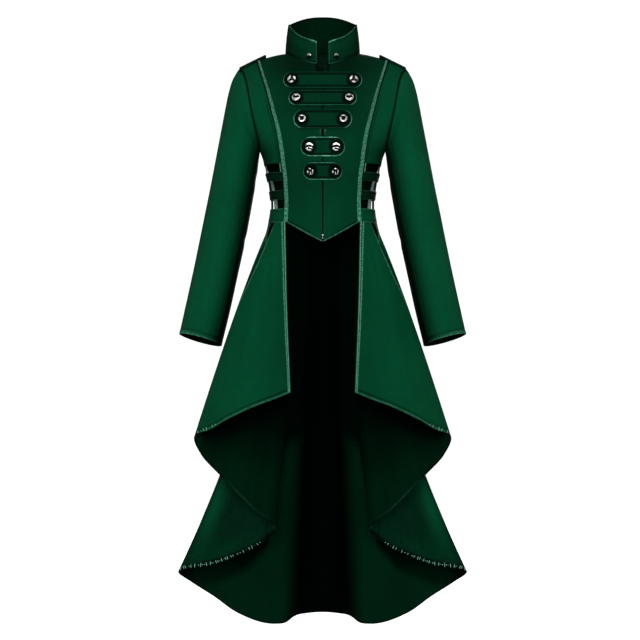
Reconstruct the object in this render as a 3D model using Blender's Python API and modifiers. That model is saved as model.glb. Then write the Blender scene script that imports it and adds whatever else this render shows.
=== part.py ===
"""A worn tailcoat, hollow and filled out: stand collar, double row of button tabs, side openings crossed by
straps, long sleeves, and a high-low skirt whose hem folds back on itself like a waterfall.

Body panels are cut from one torso surface and skirt panels from one skirt surface, so both sides of a seam
follow the same curve. Each piece is a wall of cloth: an outer sheet of points and the same points moved in.
Units are metres, +Z is up, the front faces -Y, and the origin lies between the shoulders.
"""

import math

import bmesh
import bpy
import numpy as np
from mathutils import Matrix, Vector

CLOTH = 0.0020
STIFF_CLOTH = 0.0026
SEAM_GAP = 0.0003
TRIM_GAP = 0.0005
STEP = 1e-6

# Torso: the cloth's half width at the side, and its depth in front of and behind the side line
TORSO_COLUMNS = ("height", "half_width", "front", "back")
TORSO_ROWS = (
    (0.030, 0.1920, 0.062, 0.090),
    (-0.009, 0.1920, 0.072, 0.098),
    (-0.060, 0.1920, 0.090, 0.106),
    (-0.110, 0.1900, 0.107, 0.109),
    (-0.150, 0.1770, 0.118, 0.108),
    (-0.188, 0.1540, 0.124, 0.104),
    (-0.205, 0.1424, 0.124, 0.101),
    (-0.223, 0.1335, 0.122, 0.097),
    (-0.256, 0.1272, 0.113, 0.089),
    (-0.275, 0.1222, 0.106, 0.085),
    (-0.295, 0.1190, 0.099, 0.081),
    (-0.312, 0.1172, 0.094, 0.078),
    (-0.331, 0.1160, 0.091, 0.076),
    (-0.345, 0.1168, 0.091, 0.077),
    (-0.367, 0.1200, 0.094, 0.081),
    (-0.410, 0.1330, 0.104, 0.092),
)
SECTION_POWER = 0.909
SHOULDER_RADIUS = 0.080
SHOULDER_SLOPE = 0.142
SHOULDER_CURVE = 1.79
BUST = {"x": 0.078, "height": -0.190, "reach": 0.055, "rise": 0.008}

# Neckline: an oval ring laid on the torso, its angles in degrees from the centre front
NECK_X = 0.081
NECK_HEIGHT = 0.0135
NECK_FRONT = {"depth": 0.066, "power": 1.8, "rise": 0.20}
NECK_BACK = {"depth": 0.062, "power": 2.0, "rise": 0.33}
NECK_FRONT_ANGLES = (30.0, 50.0, 70.0, 90.0)
NECK_BACK_ANGLES = (110.0, 130.0, 150.0, 165.0, 180.0)

# Rows of every body panel: shares of the yoke from its top edge, then heights down to the waist
YOKE_SHARES = (0.0, 0.04, 0.15, 0.35, 0.63, 1.0)
YOKE_HEIGHT = -0.110
BODY_HEIGHTS = (
    -0.132, -0.154, -0.172, -0.188, -0.199, -0.205, -0.221, -0.237,
    -0.247, -0.257, -0.275, -0.297, -0.316, -0.337, -0.352, -0.367,
)
SIDE_PANEL_HEIGHT = -0.237
WAIST_HEIGHT = -0.367
SEAM_TURN = SEAM_GAP / 2 / 0.10

# Seams of the body: how far from the centre each one lies at its heights
OPENING_X = 0.0118
OPEN_FRONT = ((-0.015, OPENING_X), (-0.034, 0.0105), (-0.070, 0.00015), (-0.420, 0.00015))
FRONT_SEAM = (
    (0.000, 0.1455), (-0.012, 0.1424), (-0.063, 0.1269), (-0.121, 0.1119), (-0.166, 0.1006),
    (-0.210, 0.0929), (-0.242, 0.0889), (-0.264, 0.0860), (-0.297, 0.0843), (-0.319, 0.0830),
    (-0.352, 0.0838), (-0.367, 0.0852),
)
BACK_SEAM = (
    (0.000, 0.1240), (-0.110, 0.0980), (-0.205, 0.0760), (-0.300, 0.0560), (-0.335, 0.0530),
    (-0.367, 0.0570),
)
ARMHOLE = (
    (-0.0225, 0.1886), (-0.028, 0.1815), (-0.040, 0.1758), (-0.067, 0.1688), (-0.110, 0.1610),
    (-0.152, 0.1522), (-0.188, 0.1440), (-0.199, 0.1424), (-0.205, 0.1424),
)
SIDE_OPENING_BACK = (
    (-0.205, 90.0), (-0.2371, 90.0), (-0.247, 107.0), (-0.257, 110.5), (-0.297, 115.5),
    (-0.337, 118.5), (-0.380, 118.5),
)
POINT_START_HEIGHT = -0.316
POINT_HEIGHT = -0.4115
POINT_HALF_WIDTH = 0.079
STRAPS = {"strap_upper": (-0.257, -0.275), "strap_lower": (-0.297, -0.316), "belt": (-0.337, -0.352, -0.367)}

# Collar: its top edge is a smaller ring, level with the neck's ring in angle
COLLAR_NARROWING = 0.92
COLLAR_FRONT_TOP = 0.0367
COLLAR_SIDE_TOP = 0.0745
COLLAR_BACK_TOP = 0.1014
COLLAR_THICKNESS = 0.0030
COLLAR_LIFT = 0.0005

# Sleeve: its outer and inner edge seen from the front, its half depth, and how far back its middle lies
SLEEVE_COLUMNS = ("share", "outer_x", "outer_z", "inner_x", "inner_z", "half_depth", "middle_y")
SLEEVE_ROWS = (
    (0.00, 0.1886, -0.0225, 0.1430, -0.2050, 0.056, 0.000),
    (0.04, 0.2015, -0.0430, 0.1434, -0.2085, 0.056, 0.000),
    (0.09, 0.2110, -0.0720, 0.1442, -0.2135, 0.055, 0.001),
    (0.15, 0.2175, -0.1080, 0.1452, -0.2215, 0.054, 0.002),
    (0.22, 0.2245, -0.1500, 0.1470, -0.2360, 0.053, 0.004),
    (0.31, 0.2360, -0.2080, 0.1520, -0.2660, 0.051, 0.006),
    (0.43, 0.2510, -0.2870, 0.1630, -0.3270, 0.049, 0.006),
    (0.55, 0.2665, -0.3600, 0.1765, -0.3970, 0.047, 0.002),
    (0.71, 0.2870, -0.4610, 0.1945, -0.4880, 0.045, -0.010),
    (0.88, 0.3050, -0.5550, 0.2125, -0.5770, 0.043, -0.025),
    (1.00, 0.3200, -0.6160, 0.2284, -0.6424, 0.042, -0.036),
)
SLEEVE_STATIONS = (0.0, 0.04, 0.09, 0.15, 0.22, 0.30, 0.38, 0.46, 0.55, 0.65, 0.75, 0.85, 0.93, 1.0)
SLEEVE_BLEND = 0.30
SLEEVE_SEAM_ROW = 8
ARMHOLE_CLEARANCE = 0.0005
ARMHOLE_OUTWARD = (0.97, 0.0, -0.25)
SLEEVE_SEAM_TURN = SEAM_GAP / 2 / 0.045

# Skirt: ribs from the waist to the hem. Turn is where a rib leaves the waist, in degrees from the centre
# front. The hem folds outward at the ribs named fold_a and fold_c and inward at fold_b and fold_d.
SKIRT_COLUMNS = ("rib", "turn", "hem_x", "hem_y", "hem_z", "flare", "pull")
SKIRT_ROWS = (
    ("front_edge", 39.4, 0.0660, -0.172, -0.743, 1.00, 0.000),
    ("front_middle", 52.0, 0.1700, -0.128, -0.786, 0.96, 0.000),
    ("front_outer", 60.0, 0.2560, -0.076, -0.824, 0.90, 0.000),
    ("fold_a", 66.0, 0.2875, -0.040, -0.846, 0.87, 0.000),
    ("fold_a_back", 72.0, 0.2780, -0.008, -0.884, 0.89, 0.000),
    ("notch", 83.0, 0.2330, 0.022, -0.937, 0.94, 0.000),
    ("side_inner", 97.0, 0.1520, 0.052, -1.020, 1.00, 0.019),
    ("fold_b", 106.0, 0.1050, 0.078, -1.064, 1.00, 0.032),
    ("side_back", 114.0, 0.1300, 0.098, -1.088, 1.06, 0.023),
    ("back_outer", 125.0, 0.2450, 0.120, -1.144, 1.28, 0.004),
    ("fold_c", 134.0, 0.3270, 0.152, -1.166, 1.39, 0.000),
    ("fold_c_back", 140.0, 0.3020, 0.188, -1.192, 1.36, 0.000),
    ("back_middle", 150.0, 0.1980, 0.214, -1.258, 1.22, 0.000),
    ("back_lobe", 160.0, 0.1120, 0.214, -1.291, 1.10, 0.000),
    ("fold_d", 168.0, 0.0660, 0.202, -1.280, 1.00, 0.004),
    ("pleat", 174.0, 0.0400, 0.236, -1.266, 1.00, 0.000),
    ("centre_back", 180.0, 0.0000, 0.256, -1.262, 1.00, 0.000),
)
SKIRT_STATIONS = (0.0, 0.05, 0.13, 0.24, 0.37, 0.51, 0.65, 0.79, 0.91, 1.0)
SKIRT_PANELS = {
    "skirt_front": ("front_edge", "fold_a_back", 12),
    "skirt_side": ("fold_a_back", "side_back", 14),
    "skirt_back": ("side_back", "centre_back", 28),
}
SKIRT_TOP_CLEARANCE = 0.0008
SKIRT_SEAM_PLACE = SEAM_GAP / 2 / 1.13
PULL_SHAPE = 16.0

# Tabs across the front, their buttons and the collar studs
TAB_COLUMNS = ("half_length", "top", "bottom", "button_x")
TAB_ROWS = (
    (0.0880, -0.0361, -0.0705, 0.0684),
    (0.0761, -0.0762, -0.1120, 0.0584),
    (0.0652, -0.1200, -0.1641, 0.0456),
    (0.0496, -0.1810, -0.2243, 0.0295),
    (0.0438, -0.2386, -0.2780, 0.0272),
)
TAB_THICKNESS = 0.0028
BUTTON_RADIUS = 0.0105
BUTTON_HEIGHT = 0.0062
STUD_RADIUS = 0.0065
STUD_HEIGHT = 0.0045
STUD_X = 0.0290
STUD_HEIGHT_ON_COLLAR = 0.0060
BUTTON_SIDES = 12

# Trim bands, shoulder straps and the end of the front zip
BAND_WIDTH = 0.0090
BAND_THICKNESS = 0.0016
SKIRT_BAND_TOP = 0.0105
SKIRT_BAND_HEM = 0.0060
SHOULDER_STRAP = {"inner": 0.1270, "outer": 0.1862, "half_width": 0.0160, "lift": 0.0050}
SHOULDER_STRAP_ROUND = {"inner": 0.075, "outer": 0.040}
ZIP_END = {"width": 0.0055, "height": 0.0130, "thickness": 0.0022, "top": -0.3920}

MATERIALS = {
    "cloth": ((0.005, 0.060, 0.030, 1.0), 0.55, 0.0),
    "trim": ((0.030, 0.150, 0.085, 1.0), 0.45, 0.0),
    "dark_cloth": ((0.008, 0.010, 0.009, 1.0), 0.60, 0.0),
    "metal": ((0.62, 0.62, 0.60, 1.0), 0.28, 1.0),
}


def clear_scene():
    for thing in list(bpy.data.objects):
        bpy.data.objects.remove(thing, do_unlink=True)


def make_collection(name):
    collection = bpy.data.collections.new(name)
    bpy.context.scene.collection.children.link(collection)
    return collection


def make_material(name, kind):
    colour, roughness, metallic = MATERIALS[kind]
    material = bpy.data.materials.new(name)
    material.use_nodes = True
    shader = material.node_tree.nodes["Principled BSDF"]
    shader.inputs["Base Color"].default_value = colour
    shader.inputs["Roughness"].default_value = roughness
    shader.inputs["Metallic"].default_value = metallic
    material.diffuse_color = colour
    return material


def curve_through(knots, values, at):
    """A smooth curve through values at rising knots: cubic pieces that share their slope at each knot."""
    knots = np.asarray(knots, float)
    values = np.asarray(values, float)
    at = np.asarray(at, float)
    slopes = np.gradient(values, knots, axis=0)
    first = np.clip(np.searchsorted(knots, at, side="right") - 1, 0, len(knots) - 2)
    span = knots[first + 1] - knots[first]
    share = (at - knots[first]) / span
    square, cube = share**2, share**3
    return (
        (2 * cube - 3 * square + 1) * values[first]
        + (cube - 2 * square + share) * span * slopes[first]
        + (3 * square - 2 * cube) * values[first + 1]
        + (cube - square) * span * slopes[first + 1]
    )


def column(rows, columns, name):
    return np.array([row[columns.index(name)] for row in rows], float)


def from_pairs(pairs, height):
    """A seam's value at a height, read straight between the rows of a (height, value) table."""
    heights, values = np.array(pairs[::-1], float).T
    return np.interp(height, heights, values)


def torso_size(name, height):
    heights = column(TORSO_ROWS, TORSO_COLUMNS, "height")[::-1]
    values = column(TORSO_ROWS, TORSO_COLUMNS, name)[::-1]
    return curve_through(heights, values, height)


def shoulder_height(x, behind=False):
    """The top of the shoulder: it slopes and curves down outward, and climbs inside the neck."""
    out = np.asarray(x, float) - NECK_X
    rise = np.where(behind, NECK_BACK["rise"], NECK_FRONT["rise"])
    return NECK_HEIGHT - np.where(out > 0, SHOULDER_SLOPE * out + SHOULDER_CURVE * out**2, rise * out)


def torso(turn, height):
    """Outer face of the cloth on the right half: a rounded oval at each height, closed over the shoulder."""
    turn, height = np.broadcast_arrays(np.asarray(turn, float), np.asarray(height, float))
    x = torso_size("half_width", height) * np.abs(np.sin(turn)) ** SECTION_POWER
    in_front = np.cos(turn) > 0
    depth = np.where(in_front, torso_size("front", height), torso_size("back", height))
    depth = depth * np.abs(np.cos(turn)) ** SECTION_POWER
    drop = np.clip((shoulder_height(x, ~in_front) - height) / SHOULDER_RADIUS, 0, 1)
    depth = depth * np.sqrt(1 - (1 - drop) ** 2)
    away = ((x - BUST["x"]) ** 2 + (height - BUST["height"]) ** 2) / BUST["reach"] ** 2
    depth = depth + in_front * BUST["rise"] * np.exp(-away)
    depth = np.maximum(depth, SEAM_GAP / 2)
    return np.stack([x, np.where(in_front, -depth, depth), height + 0 * x], axis=-1)


def outward(surface, a, b):
    """Unit normals of a surface of two parameters, from small steps to each side."""
    along_a = surface(a + STEP, b) - surface(a - STEP, b)
    along_b = surface(a, b + STEP) - surface(a, b - STEP)
    normal = np.cross(along_a, along_b)
    return normal / np.linalg.norm(normal, axis=-1, keepdims=True)


def torso_out(turn, height):
    turn, height = np.broadcast_arrays(np.asarray(turn, float), np.asarray(height, float))
    inside = np.clip(turn, 0.004, math.pi - 0.004)
    top = shoulder_height(torso(inside, height)[..., 0], np.cos(inside) <= 0)
    return outward(torso, inside, np.minimum(height, top - 8 * STEP))


def turn_at(x, height, behind=False):
    """The turn at which the torso surface is x from the centre, in front of the side line or behind it."""
    reach = np.clip(x / torso_size("half_width", height), 0, 1) ** (1 / SECTION_POWER)
    turn = np.arcsin(reach)
    return math.pi - turn if behind else turn


def neck_x(angles, neck):
    """Distance of the neck ring's points from the centre."""
    return NECK_X * np.sin(np.radians(angles)) ** (2 / neck["power"])


def neckline_height(x, behind):
    """Height of a panel's top edge: where the torso passes through the neck's ring, then the shoulder."""
    x = np.asarray(x, float)
    neck = NECK_BACK if behind else NECK_FRONT
    across = np.clip(x / NECK_X, 0, 1)
    depth = neck["depth"] * (1 - across ** neck["power"]) ** (1 / neck["power"])
    top = shoulder_height(x, behind)
    height = top
    for _ in range(12):
        full = torso_size("back" if behind else "front", height)
        full = full * np.cos(turn_at(x, height)) ** SECTION_POWER
        share = np.clip(depth / full, 0, 1)
        height = top - SHOULDER_RADIUS * (1 - np.sqrt(1 - share**2))
    return height


def row_heights(top):
    """Heights of a panel's rows below its top edge, one column for each value of top."""
    top = np.atleast_1d(np.asarray(top, float))
    shares = np.array(YOKE_SHARES)[:, None]
    yoke = top[None, :] * (1 - shares) + YOKE_HEIGHT * shares
    lower = np.repeat(np.array(BODY_HEIGHTS)[:, None], len(top), axis=1)
    return np.concatenate([yoke, lower])


def seam_turn(pairs, behind):
    """Turn of a seam at each row, from its table of distances from the centre."""
    top_x = from_pairs(pairs, 0.0)
    heights = row_heights(neckline_height(np.array([top_x]), behind))[:, 0]
    return turn_at(from_pairs(pairs, heights), heights, behind)


def armhole_turn(behind):
    """Turn of the armhole's edge, and of the side seam below it."""
    heights = row_heights([ARMHOLE[0][0]])[:, 0]
    turn = turn_at(from_pairs(ARMHOLE, heights), heights, behind)
    below = heights <= ARMHOLE[-1][0] + 1e-9
    if behind:
        return np.where(below, np.radians(from_pairs(SIDE_OPENING_BACK, heights)), turn)
    return np.where(below, math.pi / 2, turn)


def link(name, mesh, collection, kind):
    thing = bpy.data.objects.new(name, mesh)
    mesh.materials.append(make_material(name, kind))
    collection.objects.link(thing)
    return thing


def wall(name, outer, inner, collection, kind="cloth"):
    """A loft between unlike sections: an outer and an inner sheet of points, joined round the rim.

    Each length of rim is split from the upper row's outer point to the lower row's inner one, so that the
    two edges of a twisting seam lie parallel.
    """
    rows, columns = outer.shape[:2]
    across, down = outer[0, 1] - outer[0, 0], outer[1, 0] - outer[0, 0]
    if np.dot(np.cross(across, down), outer[0, 0] - inner[0, 0]) < 0:
        outer, inner = outer[:, ::-1], inner[:, ::-1]
    form = bmesh.new()
    sheets = [[[form.verts.new(point) for point in row] for row in sheet] for sheet in (outer, inner)]
    front, back = sheets
    for i in range(rows - 1):
        for j in range(columns - 1):
            form.faces.new((front[i][j], front[i][j + 1], front[i + 1][j + 1], front[i + 1][j]))
            form.faces.new((back[i][j], back[i + 1][j], back[i + 1][j + 1], back[i][j + 1]))
    rim = [(0, j) for j in range(columns - 1)] + [(i, columns - 1) for i in range(rows - 1)]
    rim += [(rows - 1, j) for j in range(columns - 1, 0, -1)] + [(i, 0) for i in range(rows - 1, 0, -1)]
    for here, there in zip(rim, rim[1:] + rim[:1]):
        near_outer, near_inner = front[here[0]][here[1]], back[here[0]][here[1]]
        far_outer, far_inner = front[there[0]][there[1]], back[there[0]][there[1]]
        if here < there:
            form.faces.new((near_outer, near_inner, far_inner))
            form.faces.new((near_outer, far_inner, far_outer))
        else:
            form.faces.new((near_outer, near_inner, far_outer))
            form.faces.new((near_inner, far_inner, far_outer))
    mesh = bpy.data.meshes.new(name)
    form.to_mesh(mesh)
    form.free()
    mesh.shade_smooth()
    mesh.set_sharp_from_angle(angle=math.radians(50))
    return link(name, mesh, collection, kind)


def both_sides(name, outer, inner, collection, kind="cloth"):
    """The same piece on the wearer's two sides: left in the view is -X."""
    for label, side in (("left", -1.0), ("right", 1.0)):
        mirror = np.array([side, 1.0, 1.0])
        wall(f"{name}_{label}", outer * mirror, inner * mirror, collection, kind)


def torso_wall(name, turn, height, collection, lift=0.0, thickness=CLOTH, kind="cloth"):
    """A piece of the torso surface on each side, raised by lift and thick inward from there."""
    points, out = torso(turn, height), torso_out(turn, height)
    outer = points + out * (lift + thickness if lift else 0.0)
    inner = points + out * (lift if lift else -thickness)
    both_sides(name, outer, inner, collection, kind)


def between(start, end, shares):
    """Turns across a panel, from its start seam to its end seam, each edge half a seam gap back."""
    shares = np.asarray(shares, float)[None, :]
    return (start + SEAM_TURN)[:, None] * (1 - shares) + (end - SEAM_TURN)[:, None] * shares


def panel(name, start, end, shares, behind, collection, rows=slice(None), bottom=None):
    turn = between(start, end, shares)
    top_x = torso(turn[0], np.zeros(len(shares)))[:, 0]
    height = row_heights(neckline_height(top_x, behind))
    if bottom is not None:
        height = bottom(turn, height)
    torso_wall(name, turn[rows], height[rows], collection)


def front_columns(start, end):
    """Shares across the front panel: the neck ring's points, and one on the point's outer end."""
    neck = (turn_at(neck_x(NECK_FRONT_ANGLES, NECK_FRONT), 0.0) - start[0]) / (end[0] - start[0])
    corner = (turn_at(POINT_HALF_WIDTH, WAIST_HEIGHT) - start[-1]) / (end[-1] - start[-1])
    return (0.0, *neck, (neck[-1] + corner) / 2, corner, 1.0)


def back_columns(start):
    """Shares across the back panel: its seam, then the neck ring's points to the centre."""
    neck = turn_at(neck_x((90.0, *NECK_BACK_ANGLES), NECK_BACK), 0.0, True)
    return (0.0, *((neck - start[0]) / (math.pi - start[0])))


def pointed(turn, height):
    """Lowers the last rows of the front so that its edge runs down to the point at the centre."""
    x = torso(turn[-1], height[-1])[:, 0]
    rise = np.clip(x / POINT_HALF_WIDTH, 0, 1)
    edge = POINT_HEIGHT + (WAIST_HEIGHT - POINT_HEIGHT) * rise
    free = BODY_HEIGHTS.index(POINT_START_HEIGHT) - len(BODY_HEIGHTS)
    top = height[free]
    share = np.linspace(0, 1, -free)[:, None]
    height = height.copy()
    height[free:] = top * (1 - share) + edge * share
    return height


def opening_turn():
    """Turn of the front opening's edge at each row, half a seam gap short of where the fronts meet."""
    heights = row_heights(neckline_height(np.array([OPENING_X]), False))[:, 0]
    turn = turn_at(from_pairs(OPEN_FRONT, heights), heights) - SEAM_TURN
    turn[turn < SEAM_GAP] = SEAM_TURN
    return turn


def make_body(collection):
    """Front, side front, side back and back panels, each cut from the torso surface."""
    opening, armhole_edge = opening_turn(), armhole_turn(False)
    front_seam, back_seam = seam_turn(FRONT_SEAM, False), seam_turn(BACK_SEAM, True)
    columns = front_columns(opening, front_seam)
    panel("front", opening, front_seam, columns, False, collection, bottom=pointed)
    last = len(YOKE_SHARES) + BODY_HEIGHTS.index(SIDE_PANEL_HEIGHT) + 1
    even = np.linspace(0, 1, 5)
    panel("side_front", front_seam, armhole_edge, even, False, collection, slice(0, last))
    panel("side_back", armhole_turn(True), back_seam, even, True, collection)
    centre = np.full(len(back_seam), math.pi)
    panel("back", back_seam, centre, back_columns(back_seam), True, collection)


def make_straps(collection):
    """Two straps and a belt across each side opening, from the front seam to the back panel's edge."""
    for name, heights in STRAPS.items():
        height = np.array(heights)[:, None]
        start = turn_at(from_pairs(FRONT_SEAM, height[:, 0]), height[:, 0])
        end = np.radians(from_pairs(SIDE_OPENING_BACK, height[:, 0]))
        turn = between(start, end, np.linspace(0, 1, 9))
        torso_wall(name, turn, height + 0 * turn, collection)


def make_bodice_band(collection):
    """The raised band on each front's outer edge, from the shoulder to the waist."""
    heights = row_heights(neckline_height(np.array([from_pairs(FRONT_SEAM, 0.0)]), False))[1:, 0]
    edge = from_pairs(FRONT_SEAM, heights)
    turn = np.stack([turn_at(edge - BAND_WIDTH, heights), turn_at(edge - 0.0004, heights)], axis=1)
    height = np.repeat(heights[:, None], 2, axis=1)
    torso_wall("band", turn, height, collection, TRIM_GAP, BAND_THICKNESS, "trim")


def collar_foot():
    """The collar's lower edge, just above the neck's ring, from the front opening to the centre back."""
    front_x = np.array([OPENING_X, *neck_x(NECK_FRONT_ANGLES, NECK_FRONT)])
    back_x = neck_x(NECK_BACK_ANGLES, NECK_BACK)
    edges = []
    for x, behind in ((front_x, False), (back_x, True)):
        height = neckline_height(x, behind)
        edges.append(torso(turn_at(x, height, behind), height))
    foot = np.concatenate(edges)
    foot[len(front_x) - 1, 1] = 0.0
    foot[-1, 0] = SEAM_GAP / 2
    foot[:, 2] += COLLAR_LIFT
    return foot, len(front_x)


def make_collar(collection):
    """A stand collar in two halves that meet at the centre back and stop short of the centre front."""
    foot, in_front = collar_foot()
    head = foot * np.array([COLLAR_NARROWING, COLLAR_NARROWING, 1.0])
    head[0, 0] = foot[0, 0]
    head[-1, 0] = foot[-1, 0]
    reach = (head[:, 0] - head[0, 0]) / (head[in_front - 1, 0] - head[0, 0])
    width = head[:, 0] / head[in_front - 1, 0]
    front_top = COLLAR_FRONT_TOP + (COLLAR_SIDE_TOP - COLLAR_FRONT_TOP) * reach
    back_top = COLLAR_SIDE_TOP + (COLLAR_BACK_TOP - COLLAR_SIDE_TOP) * (1 - width**2)
    head[:, 2] = np.where(np.arange(len(foot)) < in_front, front_top, back_top)
    along = np.gradient(foot, axis=0)
    out = np.stack([along[:, 1], -along[:, 0], 0 * along[:, 0]], axis=1)
    out[-1, 0] = 0.0
    out /= np.linalg.norm(out, axis=1, keepdims=True)
    shares = np.array([0.0, 0.5, 1.0])[:, None, None]
    outer = foot[None] * (1 - shares) + head[None] * shares
    both_sides("collar", outer, outer - out[None] * COLLAR_THICKNESS, collection)
    return outer, out


def armhole(ring):
    """The armhole seen as a ring: 0 at the shoulder, a quarter turn at the front, half a turn underarm."""
    top, bottom = ARMHOLE[0][0], ARMHOLE[-1][0]
    height = (top + bottom) / 2 + (top - bottom) / 2 * np.cos(ring)
    x = from_pairs(ARMHOLE, height)
    in_front = np.sin(ring) >= 0
    turn = turn_at(x, height)
    turn = np.where(in_front, turn, math.pi - turn)
    return torso(turn, height), torso_out(turn, height)


def sleeve(ring, share):
    """Outer face of the right sleeve: slanted ovals down the arm that grow out of the armhole's ring."""
    shares = column(SLEEVE_ROWS, SLEEVE_COLUMNS, "share")
    table = {name: column(SLEEVE_ROWS, SLEEVE_COLUMNS, name) for name in SLEEVE_COLUMNS[1:]}

    def section(at):
        at = np.asarray(at, float)
        value = {name: curve_through(shares, numbers, at) for name, numbers in table.items()}
        outer = np.stack([value["outer_x"], value["middle_y"], value["outer_z"]], axis=-1)
        inner = np.stack([value["inner_x"], value["middle_y"], value["inner_z"]], axis=-1)
        return (outer + inner) / 2, (outer - inner) / 2, value["half_depth"]

    def tube(at):
        middle, half, depth = section(at)
        axis = section(at + 0.01)[0] - section(at - 0.01)[0]
        axis /= np.linalg.norm(axis, axis=-1, keepdims=True)
        backward = np.array([0.0, 1.0, 0.0]) - axis * axis[..., 1:2]
        backward /= np.linalg.norm(backward, axis=-1, keepdims=True)
        sideways = half * np.cos(ring)[..., None]
        return middle + sideways - backward * (depth * np.sin(ring))[..., None]

    ring, share = np.broadcast_arrays(np.asarray(ring, float), np.asarray(share, float))
    fade = np.clip(1 - share / SLEEVE_BLEND, 0, 1)[..., None] ** 2
    return tube(share) + fade * (armhole(ring)[0] - tube(0 * share))


def sleeve_sheet(ring):
    """Points and normals of the sleeve on a ring of turns, for every station down the arm."""
    station = np.array(SLEEVE_STATIONS)[:, None] + 0 * ring[None, :]
    around = ring[None, :] + 0 * station
    points = sleeve(around, station)
    out = outward(sleeve, around, np.clip(station, 4 * STEP, 1 - 4 * STEP))
    seam_out = armhole(ring)[1]
    follow = np.clip((np.degrees(np.arccos(np.cos(ring))) - 60) / 50, 0, 1)[:, None]
    mixed = seam_out * (1 - follow) + out[1] * follow
    out[0] = mixed / np.linalg.norm(mixed, axis=-1, keepdims=True)
    points[0] = points[0] + np.array(ARMHOLE_OUTWARD) * ARMHOLE_CLEARANCE
    return points, out


def make_sleeves(collection):
    """Each sleeve is cut in two: the upper piece over the arm and the narrow one beneath it."""
    heights = row_heights([ARMHOLE[0][0]])[:, 0]
    heights = heights[heights >= ARMHOLE[-1][0] - 1e-9]
    middle, reach = (heights[0] + heights[-1]) / 2, (heights[0] - heights[-1]) / 2
    front = np.arccos(np.clip((heights - middle) / reach, -1, 1))
    seam = SLEEVE_SEAM_ROW
    upper = np.concatenate([-front[seam:0:-1], front[: seam + 1]])
    under = np.concatenate([front[seam:], 2 * math.pi - front[-2 : seam - 1 : -1]])
    for name, ring in (("sleeve_upper", upper), ("sleeve_under", under)):
        ring = ring.copy()
        ring[0] += SLEEVE_SEAM_TURN
        ring[-1] -= SLEEVE_SEAM_TURN
        points, out = sleeve_sheet(ring)
        both_sides(name, points, points - out * CLOTH, collection)


def rib_places():
    """Where each rib lies along the hem, as a share of the hem's length."""
    hem = np.array([row[2:5] for row in SKIRT_ROWS], float)
    steps = np.linalg.norm(np.diff(hem, axis=0), axis=1)
    return np.concatenate([[0.0], np.cumsum(steps)]) / steps.sum()


def skirt(place, fall):
    """Outer face of the right half of the skirt: place runs along the hem, fall from waist to hem.

    The rib beyond the centre back mirrors the one before it, so the back crosses the centre level.
    A rib's plan position goes from the waist to the hem with fall raised to its flare, pulled inward about
    its middle by its pull, and its height falls evenly.
    """
    place, fall = np.broadcast_arrays(np.asarray(place, float), np.asarray(fall, float))
    places = rib_places()
    places = np.append(places, 2 - places[-2])
    rib = {}
    for name in SKIRT_COLUMNS[1:]:
        numbers = column(SKIRT_ROWS, SKIRT_COLUMNS, name)
        beyond = {"turn": 360 - numbers[-2], "hem_x": -numbers[-2]}.get(name, numbers[-2])
        rib[name] = curve_through(places, np.append(numbers, beyond), place)
    waist = torso(np.radians(rib["turn"]), np.full(place.shape, WAIST_HEIGHT))
    spread = np.maximum(fall, 1e-9) ** rib["flare"]
    x = waist[..., 0] + (rib["hem_x"] - waist[..., 0]) * spread
    x = x - rib["pull"] * PULL_SHAPE * fall**2 * (1 - fall) ** 2
    y = waist[..., 1] + (rib["hem_y"] - waist[..., 1]) * spread
    top = WAIST_HEIGHT - SKIRT_TOP_CLEARANCE
    return np.stack([x, y, top + (rib["hem_z"] - top) * fall], axis=-1)


def skirt_out(place, fall):
    return -outward(skirt, np.clip(place, 4 * STEP, 1 - 4 * STEP), np.clip(fall, 0.004, 1 - 4 * STEP))


def make_skirt(collection):
    """Three gores a side, seamed behind the front fold, at the inner fold and at the centre back."""
    names = [row[0] for row in SKIRT_ROWS]
    places = rib_places()
    for name, (start, end, columns) in SKIRT_PANELS.items():
        first = places[names.index(start)] + (SKIRT_SEAM_PLACE if start != "front_edge" else 0.0)
        last = places[names.index(end)] - SKIRT_SEAM_PLACE
        place = np.linspace(first, last, columns + 1)[None, :]
        fall = np.array(SKIRT_STATIONS)[:, None]
        place, fall = np.broadcast_arrays(place, fall)
        points = skirt(place, fall)
        out = skirt_out(place, fall)
        if end == "centre_back":
            points[:, -1, 0] = SEAM_GAP / 2
            out[:, -1, 0] = 0.0
        both_sides(name, points, points - out * CLOTH, collection)


def make_skirt_band(collection):
    """The raised band down each front edge of the skirt, narrower at the hem."""
    fall = np.array(SKIRT_STATIONS)[:, None]
    width = SKIRT_BAND_TOP + (SKIRT_BAND_HEM - SKIRT_BAND_TOP) * fall
    edge = skirt(np.full_like(fall, 0.0), fall)
    near = skirt(np.full_like(fall, 0.02), fall)
    share = width / np.linalg.norm(near - edge, axis=-1) * 0.02
    place = np.concatenate([0.0004 + 0 * share, share], axis=1)
    fall = np.repeat(fall, 2, axis=1)
    points, out = skirt(place, fall), skirt_out(place, fall)
    outer, inner = points + out * (TRIM_GAP + BAND_THICKNESS), points + out * TRIM_GAP
    both_sides("skirt_band", outer, inner, collection, "trim")


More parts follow.
